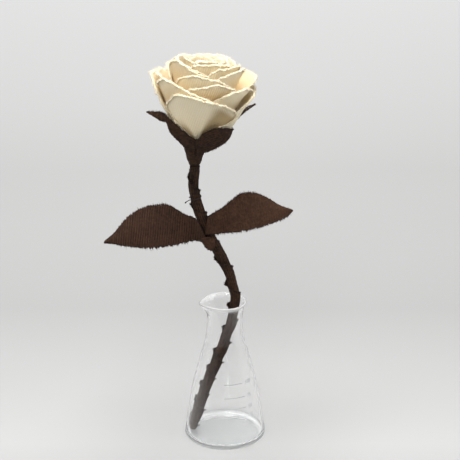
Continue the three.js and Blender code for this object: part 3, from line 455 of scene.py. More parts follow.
def glass_material():
    m, nt, b, out = nodes_of("clear_flask_glass")
    tc = nt.nodes.new("ShaderNodeTexCoord")
    sep = nt.nodes.new("ShaderNodeSeparateXYZ")
    nt.links.new(tc.outputs["Object"], sep.inputs[0])
    nt.links.new(ramp(nt, math_node(nt, "MULTIPLY", sep.outputs[2], 8.0), [(0.030, srgb(239, 240, 241)), (0.075, srgb(254, 254, 254))]), b.inputs["Base Color"])
    # painted highlight: the rim, foot and steep edges scatter a little white light instead of staying clear, standing
    # in for the bright lines the lamps make in them
    lw = nt.nodes.new("ShaderNodeLayerWeight")
    lw.inputs[0].default_value = 0.5
    rim_painted_highlight = math_node(nt, "MULTIPLY", ramp(nt, math_node(nt, "MULTIPLY", sep.outputs[2], 8.0), [(0.885, 0.0), (0.915, 0.50)]),
                      ramp(nt, math_node(nt, "MULTIPLY_ADD", sep.outputs[1], 10.0, 0.5), [(0.46, 1.0), (0.56, 0.45)]))
    rad = nt.nodes.new("ShaderNodeVectorMath")
    rad.operation = "LENGTH"
    flat = nt.nodes.new("ShaderNodeCombineXYZ")
    nt.links.new(sep.outputs[0], flat.inputs[0])
    nt.links.new(sep.outputs[1], flat.inputs[1])
    nt.links.new(flat.outputs[0], rad.inputs[0])
    foot = math_node(nt, "MULTIPLY", ramp(nt, math_node(nt, "MULTIPLY", rad.outputs["Value"], 20.0), [(0.54, 0.0), (0.585, 0.20), (0.62, 0.55)]),
                     ramp(nt, math_node(nt, "MULTIPLY", sep.outputs[2], 100.0), [(0.30, 1.0), (0.55, 0.0)]))
    # the far wall is made a little white and less clear, from the foot up to the neck
    dull = math_node(nt, "MULTIPLY", ramp(nt, math_node(nt, "MULTIPLY_ADD", sep.outputs[1], 10.0, 0.5), [(0.54, 0.0), (0.66, 0.18)]),
                     ramp(nt, math_node(nt, "MULTIPLY", sep.outputs[2], 8.0), [(0.05, 0.0), (0.14, 1.0), (0.60, 0.8), (0.72, 0.0)]))
    white_haze_and_highlight = math_node(nt, "MAXIMUM", math_node(nt, "MAXIMUM", math_node(nt, "MAXIMUM", rim_painted_highlight, dull), foot), ramp(nt, lw.outputs["Facing"], [(0.0, 0.0), (0.84, 0.02), (0.92, 0.16), (0.98, 0.60)]))
    nt.links.new(math_node(nt, "SUBTRACT", 1.0, white_haze_and_highlight), b.inputs["Transmission Weight"])
    b.inputs["IOR"].default_value = 1.47
    b.inputs["Specular IOR Level"].default_value = 0.22
    n1 = noise(nt, tc.outputs["Object"], 35.0, 2.0)
    n2 = noise(nt, tc.outputs["Object"], 900.0, 3.0)
    nt.links.new(ramp(nt, n2, [(0.55, 0.012), (0.80, 0.07)]), b.inputs["Roughness"])
    bp = nt.nodes.new("ShaderNodeBump")
    bp.inputs["Strength"].default_value = 0.20
    bp.inputs["Distance"].default_value = 0.25 * MM
    nt.links.new(n1, bp.inputs["Height"])
    nt.links.new(bp.outputs[0], b.inputs["Normal"])
    # clear glass throws next to no shadow: light from the lamps passes it
    lp = nt.nodes.new("ShaderNodeLightPath")
    tr = nt.nodes.new("ShaderNodeBsdfTransparent")
    tr.inputs[0].default_value = (0.96, 0.965, 0.96, 1)
    mx = nt.nodes.new("ShaderNodeMixShader")
    nt.links.new(lp.outputs["Is Shadow Ray"], mx.inputs[0])
    nt.links.new(b.outputs[0], mx.inputs[1])
    nt.links.new(tr.outputs[0], mx.inputs[2])
    nt.links.new(mx.outputs[0], out.inputs[0])
    return m


MAT_GLASS = glass_material()


def ink_material():
    m, nt, b, out = nodes_of("pale_grey_print")
    tc = nt.nodes.new("ShaderNodeTexCoord")
    f = noise(nt, tc.outputs["Object"], 1500.0, 4.0)
    nt.links.new(mix_color(nt, f, srgb(138, 143, 145), srgb(184, 188, 190)), b.inputs["Base Color"])
    b.inputs["Roughness"].default_value = 0.6
    return m


MAT_INK = ink_material()


def wire_material():
    m, nt, b, out = nodes_of("stem_wire_steel")
    tc = nt.nodes.new("ShaderNodeTexCoord")
    f = noise(nt, tc.outputs["Object"], 600.0, 4.0)
    nt.links.new(mix_color(nt, f, srgb(96, 92, 88), srgb(140, 136, 130)), b.inputs["Base Color"])
    nt.links.new(ramp(nt, f, [(0.3, 0.35), (0.8, 0.6)]), b.inputs["Roughness"])
    b.inputs["Metallic"].default_value = 0.9
    return m


def set_material(ob, m):
    ob.data.materials.clear()
    ob.data.materials.append(m)


def finish_piece(ob, material, replaces=None):
    set_material(ob, material)
    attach(ob, "root")
    if replaces:
        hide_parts(replaces)
    return ob


# ------------------------------------------------------------------ camera
FOCAL_PX, PITCH = 2000.0, 22.2
cam_data = bpy.data.cameras.new("camera")
cam_data.sensor_width = 36.0
cam_data.lens = 36.0 * FOCAL_PX / 460.0
cam_data.clip_start, cam_data.clip_end = 0.05, 20.0
cam = bpy.data.objects.new("camera", cam_data)
cam.location = (0.0040, -1.420273, 0.754314)
cam.rotation_euler = (math.radians(90 - PITCH), 0, 0)
scene.collection.objects.link(cam)
scene.camera = cam

# ------------------------------------------------------------------ flask
OUTER = [(29.0, 0.0), (30.6, 0.55), (31.6, 1.6), (31.9, 3.2), (31.5, 6.5), (29.6, 18.5), (26.8, 37.7), (23.9, 50.9), (20.6, 64.1),
         (17.9, 74.0), (16.3, 79.6), (15.2, 84.6), (14.4, 90.0), (14.0, 95.6), (13.9, 101.0), (14.2, 105.4), (14.9, 109.2),
         (16.0, 112.3), (16.9, 113.9), (17.3, 114.7), (17.1, 115.4), (16.5, 115.6)]
INNER = [(15.9, 115.3), (15.2, 114.4), (14.4, 112.9), (13.2, 109.6), (12.4, 105.6), (12.0, 101.0), (12.1, 95.6), (12.5, 90.0),
         (13.3, 84.6), (14.4, 79.6), (16.0, 74.0), (18.7, 64.1), (22.0, 50.9), (24.9, 37.7), (27.8, 18.5), (29.5, 7.5), (29.6, 4.9),
         (28.6, 3.2), (26.6, 2.6)]


def smooth_profile(pts, n):
    """Centripetal-like smooth resampling by arc length."""
    p = np.array(pts, float)
    d = np.concatenate([[0], np.cumsum(np.sqrt(np.linalg.norm(np.diff(p, axis=0), axis=1)))])
    out = []
    for s in np.linspace(0, d[-1], n):
        i = min(max(np.searchsorted(d, s) - 1, 0), len(p) - 2)
        t0, t1 = d[i], d[i + 1]
        f = (s - t0) / (t1 - t0)
        def tan(k):
            a, b = max(k - 1, 0), min(k + 1, len(p) - 1)
            return (p[b] - p[a]) / (d[b] - d[a])
        m0, m1 = tan(i) * (t1 - t0), tan(i + 1) * (t1 - t0)
        out.append((2 * f ** 3 - 3 * f ** 2 + 1) * p[i] + (f ** 3 - 2 * f ** 2 + f) * m0 + (-2 * f ** 3 + 3 * f ** 2) * p[i + 1] + (f ** 3 - f ** 2) * m1)
    return np.array(out)


def flask_outer_radius(z):
    pr = smooth_profile(OUTER, 400)
    k = pr[:, 1].argsort()
    return np.interp(z, pr[k, 1], pr[k, 0])


def build_flask(sides=160):
    prof = np.concatenate([[(0.0, 0.55)], [(20.0, 0.5)], [(27.2, 0.2)], smooth_profile(OUTER, 96), smooth_profile(INNER, 90), [(18.0, 2.35)], [(8.0, 2.25)], [(0.0, 2.25)]])
    V, F = [], []
    ring = []
    for (r, z) in prof:
        if r < 1e-6:
            ring.append([len(V)])
            V.append((0, 0, z))
            continue
        ids = []
        for k in range(sides):
            a = 2 * math.pi * k / sides
            x, y, zz, rr = r * math.cos(a), r * math.sin(a), z, r
            if z > 104 and r > 1:
                da = math.degrees(math.atan2(y, -x))
                w = math.exp(-((da / SPOUT_HALF_ANGLE) ** 2)) * float(sstep((z - 104) / (FLASK_HEIGHT - 104)))
                kx = (r + SPOUT_REACH * w) / r
                x, y, zz = x * kx, y * kx, z - SPOUT_DROP * w
            ids.append(len(V))
            V.append((x, y, zz))
        ring.append(ids)
    for A, B in zip(ring[:-1], ring[1:]):
        for k in range(sides):
            j = (k + 1) % sides
            if len(A) == 1:
                F.append((A[0], B[j], B[k]))
            elif len(B) == 1:
                F.append((A[k], A[j], B[0]))
            else:
                F.append((A[k], A[j], B[j], B[k]))
    return make_object("flask_glass", V, F)


flask = build_flask()
finish_piece(flask, MAT_GLASS, "flask")

# ------------------------------------------------------------------ printed graduations
def print_on_flask(points_mm, lift=0.06):
    """(x along the surface, z) in mm -> the front of the cone; x is measured as arc from azimuth 0."""
    p = np.asarray(points_mm, float)
    r = flask_outer_radius(p[:, 1]) + lift
    a = p[:, 0] / r
    return np.stack([r * np.sin(a), -r * np.cos(a), p[:, 1]], 1)


def flat_patch(name, V2, F, lift0=0.03, lift1=0.10):
    lo, hi = print_on_flask(V2, lift0), print_on_flask(V2, lift1)
    N = len(V2)
    V = np.concatenate([hi, lo])
    FF = [tuple(f) for f in F] + [tuple(i + N for i in reversed(f)) for f in F]
    edges = set()
    for f in F:
        for a, b in zip(f, tuple(f[1:]) + (f[0],)):
            edges.add((a, b))
    for (a, b) in edges:
        if (b, a) not in edges:
            FF.append((b, a, a + N, b + N))
    return make_object(name, V, FF, smooth=False)


def grad_line(name, x0, x1, z, w=0.45, rise=0.0):
    n = 24
    xs = np.linspace(x0, x1, n)
    V2 = np.array([(x, z - w / 2 + rise * (x - x0) / (x1 - x0)) for x in xs] + [(x, z + w / 2 + rise * (x - x0) / (x1 - x0)) for x in xs])
    F = [(i, i + 1, n + i + 1, n + i) for i in range(n - 1)]
    return flat_patch(name, V2, F)


def grad_text(name, text, x, z, size):
    cu = bpy.data.curves.new(name + "_c", "FONT")
    cu.body = text
    cu.size = size
    cu.resolution_u = 3
    tmp = bpy.data.objects.new(name + "_c", cu)
    scene.collection.objects.link(tmp)
    bpy.context.view_layer.update()
    me = bpy.data.meshes.new_from_object(tmp.evaluated_get(bpy.context.evaluated_depsgraph_get()))
    V2 = np.array([(v.co.x + x, v.co.y + z) for v in me.vertices])
    F = [tuple(p.vertices) for p in me.polygons]
    n0 = np.array([p.normal.z for p in me.polygons]).mean() if len(me.polygons) else 1
    if n0 < 0:
        F = [tuple(reversed(f)) for f in F]
    bpy.data.objects.remove(tmp)
    bpy.data.curves.remove(cu)
    return flat_patch(name, V2, F)


for k, (z, x0, x1, num) in enumerate([(53.4, -0.6, 14.6, "100"), (42.8, -0.6, 16.6, "75"), (34.0, -0.6, 17.8, "50"), (26.6, -0.6, 18.8, "25")]):
    ln = grad_line(f"graduation_line_{k + 1}", x0, x1, z)
    finish_piece(ln, MAT_INK)
    tx = grad_text(f"graduation_figure_{k + 1}", num, x1 + 2.2, z - 1.6, 4.6)
    finish_piece(tx, MAT_INK)

# ------------------------------------------------------------------ nesting map, as in the CAD
NA, Z_LO, NZ = 144, -8, 84


def flare(z):
    return 6.4 + 30.6 * np.clip((z + 4) / 50, 0, 2) ** 0.8


filled = np.full((NA, NZ), -99.0)


def soften(H):
    def across(M, n, s):
        st = [np.roll(M, k, 0) for k in range(-n, n + 1)]
        return sum(st) / len(st) if s else np.maximum.reduce(st)
    def along(M, n, s):
        P = np.pad(M, ((0, 0), (n, n)), mode="edge")
        st = [P[:, k:k + M.shape[1]] for k in range(2 * n + 1)]
        return sum(st) / len(st) if s else np.maximum.reduce(st)
    D = across(H, 3, False)
    D = along(D, 2, False)
    D = across(D, 3, True)
    D = along(D, 2, True)
    D = across(D, 1, True)
    return along(D, 1, True)


def filled_at(H, az, z):
    x = az / 360 * NA
    y = np.clip(z - Z_LO, 0, NZ - 1.001)
    i, j = np.floor(x).astype(int), np.floor(y).astype(int)
    f, g = x - i, y - j
    i0, i1 = i % NA, (i + 1) % NA
    return (H[i0, j] * (1 - f) + H[i1, j] * f) * (1 - g) + (H[i0, j + 1] * (1 - f) + H[i1, j + 1] * f) * g + flare(z)


for j in range(NZ):
    z = Z_LO + j
    if 28 <= z <= 64:
        filled[:, j] = 6.6 - flare(z)
    elif -1 <= z < 28:
        filled[:, j] = (8.7 if z < 16 else 8.7 - (z - 16) * 0.18) - flare(z)
    elif z < -1:
        filled[:, j] = max(4, 9.2 + (z + 0.5) * 0.85) - flare(z)


def petal_design(row):
    name, az0, hw, R, Zr, pw, b, z0, tops, oL, oR, lip, cL, cR = row
    outer = name == "petal_f4"
    tops = np.asarray(tops, float)

    def f(s, v):
        """s -1..1 across, v 0..1 as a share of the full local height."""
        top = spline(tops, (s + 1) / 2)
        z = z0 + (top - z0) * v
        r = b + (R - b) * np.clip((z + 4) / (Zr + 4), 0, 2) ** pw
        r = r + (oL + (oR - oL) * (s + 1) / 2) * (0.35 + 0.65 * v) + lip * sstep((v - 0.72) / 0.28)
        r = r + (cL * np.clip(-s, 0, 1) ** 3 + cR * np.clip(s, 0, 1) ** 3) * sstep((v - 0.55) / 0.45)
        opening = np.where(s > 0, spline(OUTER_OPEN_RIGHT, v), spline(OUTER_OPEN, v)) if outer else spline(PETAL_OPEN, v)
        return az0 + hw * opening * s, z, r
    return f


def drape_map(H, f, s, v, thick, gap):
    az, z, r = f(s, v)
    _, z1, r1 = f(s, np.minimum(v + 0.02, 1))
    _, z2, r2 = f(s, np.maximum(v - 0.02, 0))
    slope = (r1 - r2) / np.maximum(z1 - z2, 0.05)
    grow = thick / 2 * np.sqrt(1 + np.minimum(slope ** 2, 9))
    m = filled_at(H, az, z) + gap + grow
    k = 0.5
    rr = np.where(m > 0.5, 0.5 * (r + m + np.sqrt((r - m) ** 2 + k * k)), r)
    return az, z, rr, grow


def splat(f, H, thick, gap):
    global filled
    s = np.linspace(-1, 1, 201)[None, :] + np.zeros((161, 1))
    v = np.linspace(0, 1, 161)[:, None] + np.zeros((1, 201))
    az, z, r, g = drape_map(H, f, s, v, thick, gap)
    a = np.round(az / 360 * NA).astype(int) % NA
    b = np.clip(np.round(z - Z_LO).astype(int), 0, NZ - 1)
    np.maximum.at(filled, (a, b), r + g - flare(z))
    return az, z, r


# first pass: where every petal lies, so that rims know how much room they have outside them
LAYERS = []
for row in PETALS:
    f = petal_design(row)
    H = soften(filled)
    az, z, r = splat(f, H, PETAL_THICK, WIDE_GAP.get(row[0], PETAL_GAP))
    cover = np.full((NA, NZ), 999.0)
    a = np.round(az / 360 * NA).astype(int) % NA
    b = np.clip(np.round(z - Z_LO).astype(int), 0, NZ - 1)
    np.minimum.at(cover, (a, b), r - PETAL_THICK)
    LAYERS.append((row, f, H, cover))
H_SEPALS = filled.copy()


def room_outside(k, az, z):
    """Smallest radius of any later petal over the same place, 999 where there is none."""
    m = np.full((NA, NZ), 999.0)
    for _, _, _, c in LAYERS[k + 1:]:
        m = np.minimum(m, c)
    for _ in range(1):
        m = np.minimum(np.minimum(m, np.roll(m, 1, 0)), np.roll(m, -1, 0))
        p = np.pad(m, ((0, 0), (1, 1)), mode="edge")
        m = np.minimum(np.minimum(p[:, :-2], p[:, 2:]), p[:, 1:-1])
    i = np.round(az / 360 * NA).astype(int) % NA
    j = np.clip(np.round(z - Z_LO).astype(int), 0, NZ - 1)
    return m[i, j]


def smooth_grid(D, n):
    for _ in range(n):
        P = np.pad(D, 1, mode="edge")
        D = (P[1:-1, 1:-1] * 2 + P[:-2, 1:-1] + P[2:, 1:-1] + P[1:-1, :-2] + P[1:-1, 2:]) / 6
    return D


FRAY_V, FRAY_F, FRAY_N = {}, {}, {}


def collect_fray(key, paths, radii, sides=3):
    V, F = tubes(paths, radii, sides=sides)
    base = FRAY_N.get(key, 0)
    FRAY_V.setdefault(key, []).append(V)
    FRAY_F.setdefault(key, []).extend([tuple(i + base for i in f) for f in F])
    FRAY_N[key] = base + len(V)


def rim_threads(seed, B, O, N, rho, per_mm, longest, key):
    """Loose ends of cut threads standing out of a petal's rim."""
    r = np.random.default_rng(seed)
    seg = np.linalg.norm(np.diff(B, axis=0), axis=1)
    acc = np.concatenate([[0], np.cumsum(seg)])
    count = int(acc[-1] * per_mm)
    T = np.gradient(B, axis=0)
    T /= np.linalg.norm(T, axis=1)[:, None]
    paths, radii = [], []
    clump = 0.5 + 0.5 * waves(seed + 3, np.linspace(0, acc[-1], 400), scale=7.0, octaves=3)
    for _ in range(count):
        x = r.uniform(0, acc[-1])
        i = min(int(np.searchsorted(acc, x)) - 1, len(B) - 2)
        i = max(i, 0)
        f = (x - acc[i]) / max(seg[i], 1e-6)
        lerp = lambda M: M[i] * (1 - f) + M[i + 1] * f
        p, o, n, t, rr = lerp(B), lerp(O), lerp(N), lerp(T), rho[i]
        if rr < 0.16:
            continue
        a = r.uniform(-0.4, 3.3)                              # where on the rolled rim it comes out
        d0 = math.sin(a) * o + (0.2 - math.cos(a)) * n * 0.9
        start = p + rr * (math.sin(a) * o + (1 - math.cos(a)) * n) + 0.1 * d0
        L = (0.25 + 0.75 * r.uniform() ** 1.8) * longest * (0.6 + 0.8 * clump[int(x / acc[-1] * 399)])
        L = min(L, 0.6 + rr * 2.6)
        bend, side = r.normal(0, 0.55), r.normal(0, 0.30)
        d0 = d0 / (np.linalg.norm(d0) + 1e-9)
        pts = [start - d0 * 0.15 + d0 * q * (L + 0.15) + t * (bend * L * q * q) + n * (side * L * q ** 1.5 + 0.10 * L * q) for q in (0, 0.4, 0.75, 1.0)]
        paths.append(np.array(pts))
        radii.append(r.uniform(0.08, 0.15))
    if paths:
        collect_fray(key, paths, radii)


def build_petal(k, nu=84, nv=36, roll_seg=6):
    row, f, H, _ = LAYERS[k]
    name, az0, hw, R, Zr, pw, b, z0, tops, oL, oR, lip, cL, cR = row
    seed = 100 + k
    front = name == "petal_f4"
    sig = np.linspace(-1, 1, nu + 1)
    s1 = np.sin(sig * math.pi / 2) * 0.55 + sig * 0.45            # crowd the columns towards the sides
    t1 = np.linspace(0, 1, nv + 1) ** 0.93
    S, T = np.meshgrid(s1, t1)
    # rounded shoulders: the local top falls away towards both sides
    power = np.where(S > 0, 7.0, 6.0) if front else np.full_like(S, 4.6)
    low = np.full_like(S, 0.60 if front else 0.50)
    corner = (1 - np.abs(S) ** power * 0.9995) ** (1 / power)
    top_v = low + (1 - low) * corner
    wob = 0.010 * waves(seed, S * hw * 0.5, scale=16.0, octaves=2)
    # the cut is not clean: it steps by single threads
    cut = np.random.default_rng(seed + 70).normal(0, 1, nu + 1)
    cut = 0.0045 * (cut + np.repeat(np.random.default_rng(seed + 71).normal(0, 1, nu // 4 + 2), 4)[:nu + 1])
    Vv = T * np.clip(top_v + (wob + cut[None, :]) * (T ** 6), 0, 1.02)
    az, z, r, _ = drape_map(H, f, S, Vv, PETAL_THICK, WIDE_GAP.get(name, PETAL_GAP))
    r0 = f(S, Vv)[2]
    D = smooth_grid(r - r0, 3)
    arc = (az - az0) * RAD * np.maximum(r, 3.0)                   # flat cloth coordinates, mm
    up = z * 1.12
    # gentle handmade unevenness, only as much as the gaps allow
    D = D + 0.20 * waves(seed + 50, arc, up, scale=22.0, octaves=2) * sstep(T / 0.5)
    r = np.maximum(r0 + D, filled_at(H, az, z) + 0.12 + PETAL_THICK / 2) if k else r0 + D
    P = head_point(az, z, r)
    # rim: boundary loop up the left side, over the top, down the right side
    jl = int(nv * 0.30)
    loop = [(j, 0) for j in range(jl, nv)] + [(nv, i) for i in range(nu + 1)] + [(j, nu) for j in range(nv - 1, jl - 1, -1)]
    idx = lambda ji: ji[0] * (nu + 1) + ji[1]
    verts = P.reshape(-1, 3)
    faces = grid_faces(nu, nv)
    vn = vertex_normals(verts, faces)
    # make sure normals point away from the head's axis
    mid = verts - HEAD_BASE
    radial = mid - (mid @ AX)[:, None] * AX
    if np.mean(np.sum(vn * radial, 1)) < 0:
        faces = [tuple(reversed(q)) for q in faces]
        vn = -vn
    ids = np.array([idx(x) for x in loop])
    B = verts[ids]
    tang = np.gradient(B, axis=0)
    tang /= np.linalg.norm(tang, axis=1)[:, None]
    N = vn[ids]
    for _ in range(4):
        N[1:-1] = (N[:-2] + N[1:-1] + N[2:]) / 3
        tang[1:-1] = (tang[:-2] + tang[1:-1] + tang[2:]) / 3
    N /= np.linalg.norm(N, axis=1)[:, None]
    O = np.cross(tang, N)
    inner_ref = verts[[idx((min(max(j, 2), nv - 3), min(max(i, 3), nu - 3))) for j, i in loop]]
    sign = np.sign(np.sum(O * (B - inner_ref), 1))
    O *= (1 if np.sum(sign) > 0 else -1)
    O /= np.linalg.norm(O, axis=1)[:, None]
    azb, zb, rb = az.reshape(-1)[ids], z.reshape(-1)[ids], r.reshape(-1)[ids]
    room = np.minimum(room_outside(k, azb, zb - 1.0), room_outside(k, azb, zb))
    avail = np.clip((room - rb - PETAL_THICK * 0.5 - 0.25) / 2.0, 0.08, 2.0)
    n = len(ids)
    e = np.linspace(0, 1, n)
    big = {"a": 0.50, "b": 0.54, "c": 0.54, "d": 0.56, "e": 0.60, "f": 0.62}[name[6]]
    taper = sstep(np.minimum(e, 1 - e) / 0.16) * 0.8 + 0.2
    lenacc = np.concatenate([[0], np.cumsum(np.linalg.norm(np.diff(B, axis=0), axis=1))])
    lump = 1 + 0.22 * waves(seed + 7, lenacc, scale=9.0, octaves=2) + 0.42 * waves(seed + 8, lenacc, scale=2.2, octaves=2)
    rho = np.minimum(big * taper, avail)
    for _ in range(4):
        rho[1:-1] = np.minimum((rho[:-2] + 2 * rho[1:-1] + rho[2:]) / 4, avail[1:-1] * 1.02 + 0.01)
    rho = rho * lump
    phi = (195 + 30 * waves(seed + 9, lenacc, scale=10.0, octaves=2)) * RAD * sstep(rho / 0.30 + 0.15)
    rings = []
    for q in range(1, roll_seg + 1):
        a = phi * q / roll_seg
        rings.append(B + rho[:, None] * (np.sin(a)[:, None] * O + (1 - np.cos(a))[:, None] * N))
    base = len(verts)
    V = np.concatenate([verts] + rings)
    F = list(faces)
    prev = ids
    flip = None
    for q in range(roll_seg):
        cur = base + q * n + np.arange(n)
        for i in range(n - 1):
            quad = (prev[i], prev[i + 1], cur[i + 1], cur[i])
            if flip is None:
                # match the winding of the sheet
                a0 = np.cross(V[quad[2]] - V[quad[0]], V[quad[3]] - V[quad[1]])
                flip = np.dot(a0, N[i]) < 0
            F.append(tuple(reversed(quad)) if flip else quad)
        prev = cur
    uv = np.stack([arc.ravel(), up.ravel()], 1)
    uvs = [uv]
    # painted warm shade: stronger the deeper the cloth lies below its rim
    depth = np.clip((f(S, np.ones_like(S))[1] - z) / 24.0, 0, 1) ** 0.7
    deps = [depth.ravel()]
    # the rim band: partly the paler cut threads, partly painted highlight
    edge = np.clip(1 - (top_v + 0 * T - Vv) * (max(tops) - z0) / 1.6, 0, 1) ** 1.5
    edge = np.maximum(edge, sstep((np.abs(S) - 0.945) / 0.03) * sstep((T - 0.3) / 0.2)) * 0.75
    edges = [edge.ravel()]
    for q in range(1, roll_seg + 1):
        uvs.append(uv[ids] + np.array([0, 1]) * (rho * phi * q / roll_seg)[:, None])
        deps.append(deps[0][ids] * 0)
        edges.append(np.full(n, 0.85))
    # painted shade where the cloth turns under or lies in its neighbour's shadow; the inner rings and a few petals get
    # a flat painted shade as well
    shade = np.full(S.shape, {"a": 0.04, "b": 0.06, "c": 0.06, "d": 0.02, "e": 0.0, "f": 0.0}[name[6]])
    shade = shade + {"petal_e3": 0.26, "petal_c3": 0.14, "petal_e2": 0.12, "petal_d5": 0.08}.get(name, 0.0)
    if front:
        shade = sstep((S - 0.10) / 0.42) * sstep((0.985 - Vv) / 0.14)
        low_left = sstep((-S - 0.62) / 0.32) * sstep((0.66 - Vv) / 0.26)
        shade = np.maximum(shade, 0.95 * low_left)
        # the rim's painted highlight fades where the lower left lies in painted shade
        edges[0] = edges[0] * (1 - low_left.ravel())
        for q in range(1, roll_seg + 1):
            edges[q] = edges[q] * (1 - 0.9 * low_left.ravel()[ids])
    shades = [shade.ravel()] + [shade.ravel()[ids] * (0.9 if front else 0.6)] * roll_seg
    Vt, Ft, Ut, At = thicken(V, F, PETAL_THICK, np.concatenate(uvs),
                             {"depth": np.concatenate(deps), "edge": np.concatenate(edges), "shade": np.concatenate(shades)})
    half = len(V)
    At["depth"][:half] *= 0.22 if name[6] == "f" else 0.75       # the outermost faces lie in open light
    At["depth"][:half] = np.clip(At["depth"][:half] * {"petal_d5": 1.6, "petal_d4": 0.9, "petal_e4": 0.45}.get(name, 1.0), 0, 1)
    if name == "petal_f3":
        At["depth"][half:] *= 0.40
    ob = make_object(name + "_cloth", Vt, Ft, Ut, At)
    finish_piece(ob, MAT_PETAL, name)
    rim_threads(seed + 400, B, O, N, rho, 7.5 if name[6] in "def" else 6.5, 1.7, "petal_ring_" + name[6] + "_loose_threads")
    A = area_of(V, F)
    return ob


for k in range(len(PETALS)):
    build_petal(k)
for key in sorted(FRAY_V):
    finish_piece(make_object(key, np.concatenate(FRAY_V[key]), FRAY_F[key]), MAT_CREAM_FRAY)

# ------------------------------------------------------------------ rolled strip in the middle
def build_roll():
    turns, nu, nv, seg = 1.9, 150, 26, 6
    u = np.linspace(0, 1, nu + 1)
    v = np.linspace(0, 1, nv + 1)
    U, Vv = np.meshgrid(u, v)
    a = 40 + U * turns * 360
    r = (2.2 + 3.3 * U + 0.6 * Vv * Vv) * (0.75 + 0.25 * Vv) + 0.10 * waves(7, U * 60, Vv * 30, scale=14.0)
    top = 62.4 - 1.4 * sstep((U - 0.85) / 0.15) - 0.8 * (1 - U) + 0.35 * waves(8, U * 60, scale=12.0)
    z = 29.5 + (top - 29.5) * Vv
    P = head_point(a, z, r)
    V = P.reshape(-1, 3)
    F = grid_faces(nu, nv)
    vn = vertex_normals(V, F)
    radial = (V - HEAD_BASE) - ((V - HEAD_BASE) @ AX)[:, None] * AX
    if np.mean(np.sum(vn * radial, 1)) < 0:
        F = [tuple(reversed(q)) for q in F]
        vn = -vn
    ids = nv * (nu + 1) + np.arange(nu + 1)
    B, N = V[ids], vn[ids]
    rho = 0.30 * sstep(np.minimum(u, 1 - u) / 0.06) + 0.05
    rings = []
    for q in range(1, seg + 1):
        ph = math.pi * 1.05 * q / seg
        rings.append(B + rho[:, None] * (math.sin(ph) * AX + (1 - math.cos(ph)) * N))
    VV = np.concatenate([V] + rings)
    FF = list(F)
    prev = ids
    for q in range(seg):
        cur = len(V) + q * (nu + 1) + np.arange(nu + 1)
        for i in range(nu):
            FF.append((prev[i], prev[i + 1], cur[i + 1], cur[i]))
        prev = cur
    quad = FF[len(F)]
    if np.dot(np.cross(VV[quad[2]] - VV[quad[0]], VV[quad[3]] - VV[quad[1]]), N[0]) < 0:
        FF = FF[:len(F)] + [tuple(reversed(q)) for q in FF[len(F):]]
    uv = np.stack([(U * turns * 2 * math.pi * 4).ravel(), z.ravel()], 1)
    UV = np.concatenate([uv] + [uv[ids] + [0, 0.1 * q] for q in range(1, seg + 1)])
    # painted shade below the rim (depth) and the rim band, partly painted highlight (edge), as on the petals
    DEP = np.concatenate([np.clip((top - z) / 22, 0, 1).ravel()] + [np.zeros(nu + 1)] * seg)
    EDG = np.concatenate([np.clip(1 - (top - z) / 1.6, 0, 1).ravel() * 0.7] + [np.full(nu + 1, 0.85)] * seg)
    Vt, Ft, Ut, At = thicken(VV, FF, 0.45, UV, {"depth": DEP, "edge": EDG})
    ob = make_object("bud_roll_cloth", Vt, Ft, Ut, At)
    finish_piece(ob, MAT_ROLL, "bud_roll")
    A = area_of(VV, FF)


build_roll()
set_material(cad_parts["bud_core"], MAT_ROLL)
if "cloth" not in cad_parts["bud_core"].data.uv_layers:
    pass

# ------------------------------------------------------------------ stem strip
def stem_frame(t):
    t = np.asarray(t, float)
    a, b, c = spline(STEM, t - 0.002), spline(STEM, t + 0.002), spline(STEM, t)
    lo = np.clip(t - 0.002, 0, 1)
    a = spline(STEM, lo)
    d = b[..., :2] - a[..., :2]
    d /= np.linalg.norm(d, axis=-1)[..., None]
    return c, np.stack([d[..., 1], -d[..., 0]], -1), d


TS = np.linspace(0, 1, 2001)
_c = spline(STEM, TS)
STEM_LEN = np.concatenate([[0], np.cumsum(np.linalg.norm(np.diff(_c[:, :2], axis=0), axis=1))])


def stem_point(t, ang, r, along=0.0):
    c, n, d = stem_frame(t)
    ca, sa = np.cos(ang), np.sin(ang)
    return np.stack([c[..., 0] + r * ca * n[..., 0] + along * d[..., 0], r * sa, c[..., 1] + r * ca * n[..., 1] + along * d[..., 1]], -1)


# where the strip's raw edge crosses the stem's right side (whole turns) and left side (half turns), as length along it
EDGE_LEN = np.array([-22.0, -14.0, -10.0, -3.0, 4.5, 11.8, 19.1, 26.7, 33.3, 40.8, 48.4, 55.4, 63.4, 71.4, 81.5, 91.8, 101.2, 113.0, 123.2,
                     133.4, 146.0, 156.3, 169.0, 182.0, 195.6, 203.5, 214.2, 228.0, 240.0, 252.0, 264.0])
EDGE_TURN = -3.0 + 0.5 * np.arange(len(EDGE_LEN))
_tf = np.linspace(EDGE_TURN[0], EDGE_TURN[-1], 1400)
_lf = np.interp(_tf, EDGE_TURN, EDGE_LEN)
_lf = np.convolve(np.pad(_lf, 12, mode="edge"), np.ones(25) / 25, mode="valid")
STRIP_THICK, STRIP_OVERLAP = 0.42, 0.24


def edge_length(turn):
    return np.interp(turn, _tf, _lf)


def stem_base(L, ang, t):
    return spline(STEM, t)[..., 2] - 0.42 + 0.13 * waves(31, L, ang * 4.0, scale=9.0, octaves=3)


def strip_radius(turn, w):
    """Middle of the strip, w turns below its raw upper edge; each turn comes out from under the one below it and flares."""
    L = edge_length(turn - w)
    ang = -2 * math.pi * turn
    t = np.interp(L, STEM_LEN, TS)
    fold = 0.9 + 1.2 * waves(36, turn * 21.0, scale=6.5, octaves=2)
    left = 1 + 0.25 * np.cos(ang - math.pi)
    fold = np.maximum(fold, 0.0)
    lift = 0.66 * (1 - sstep(w / 0.92)) + 0.62 * left * fold * np.exp(-((w / 0.06) ** 2)) + 0.10 * waves(39, L, ang * 4.0, scale=2.4, octaves=2)
    return stem_base(L, ang, t) + lift, L, ang, t


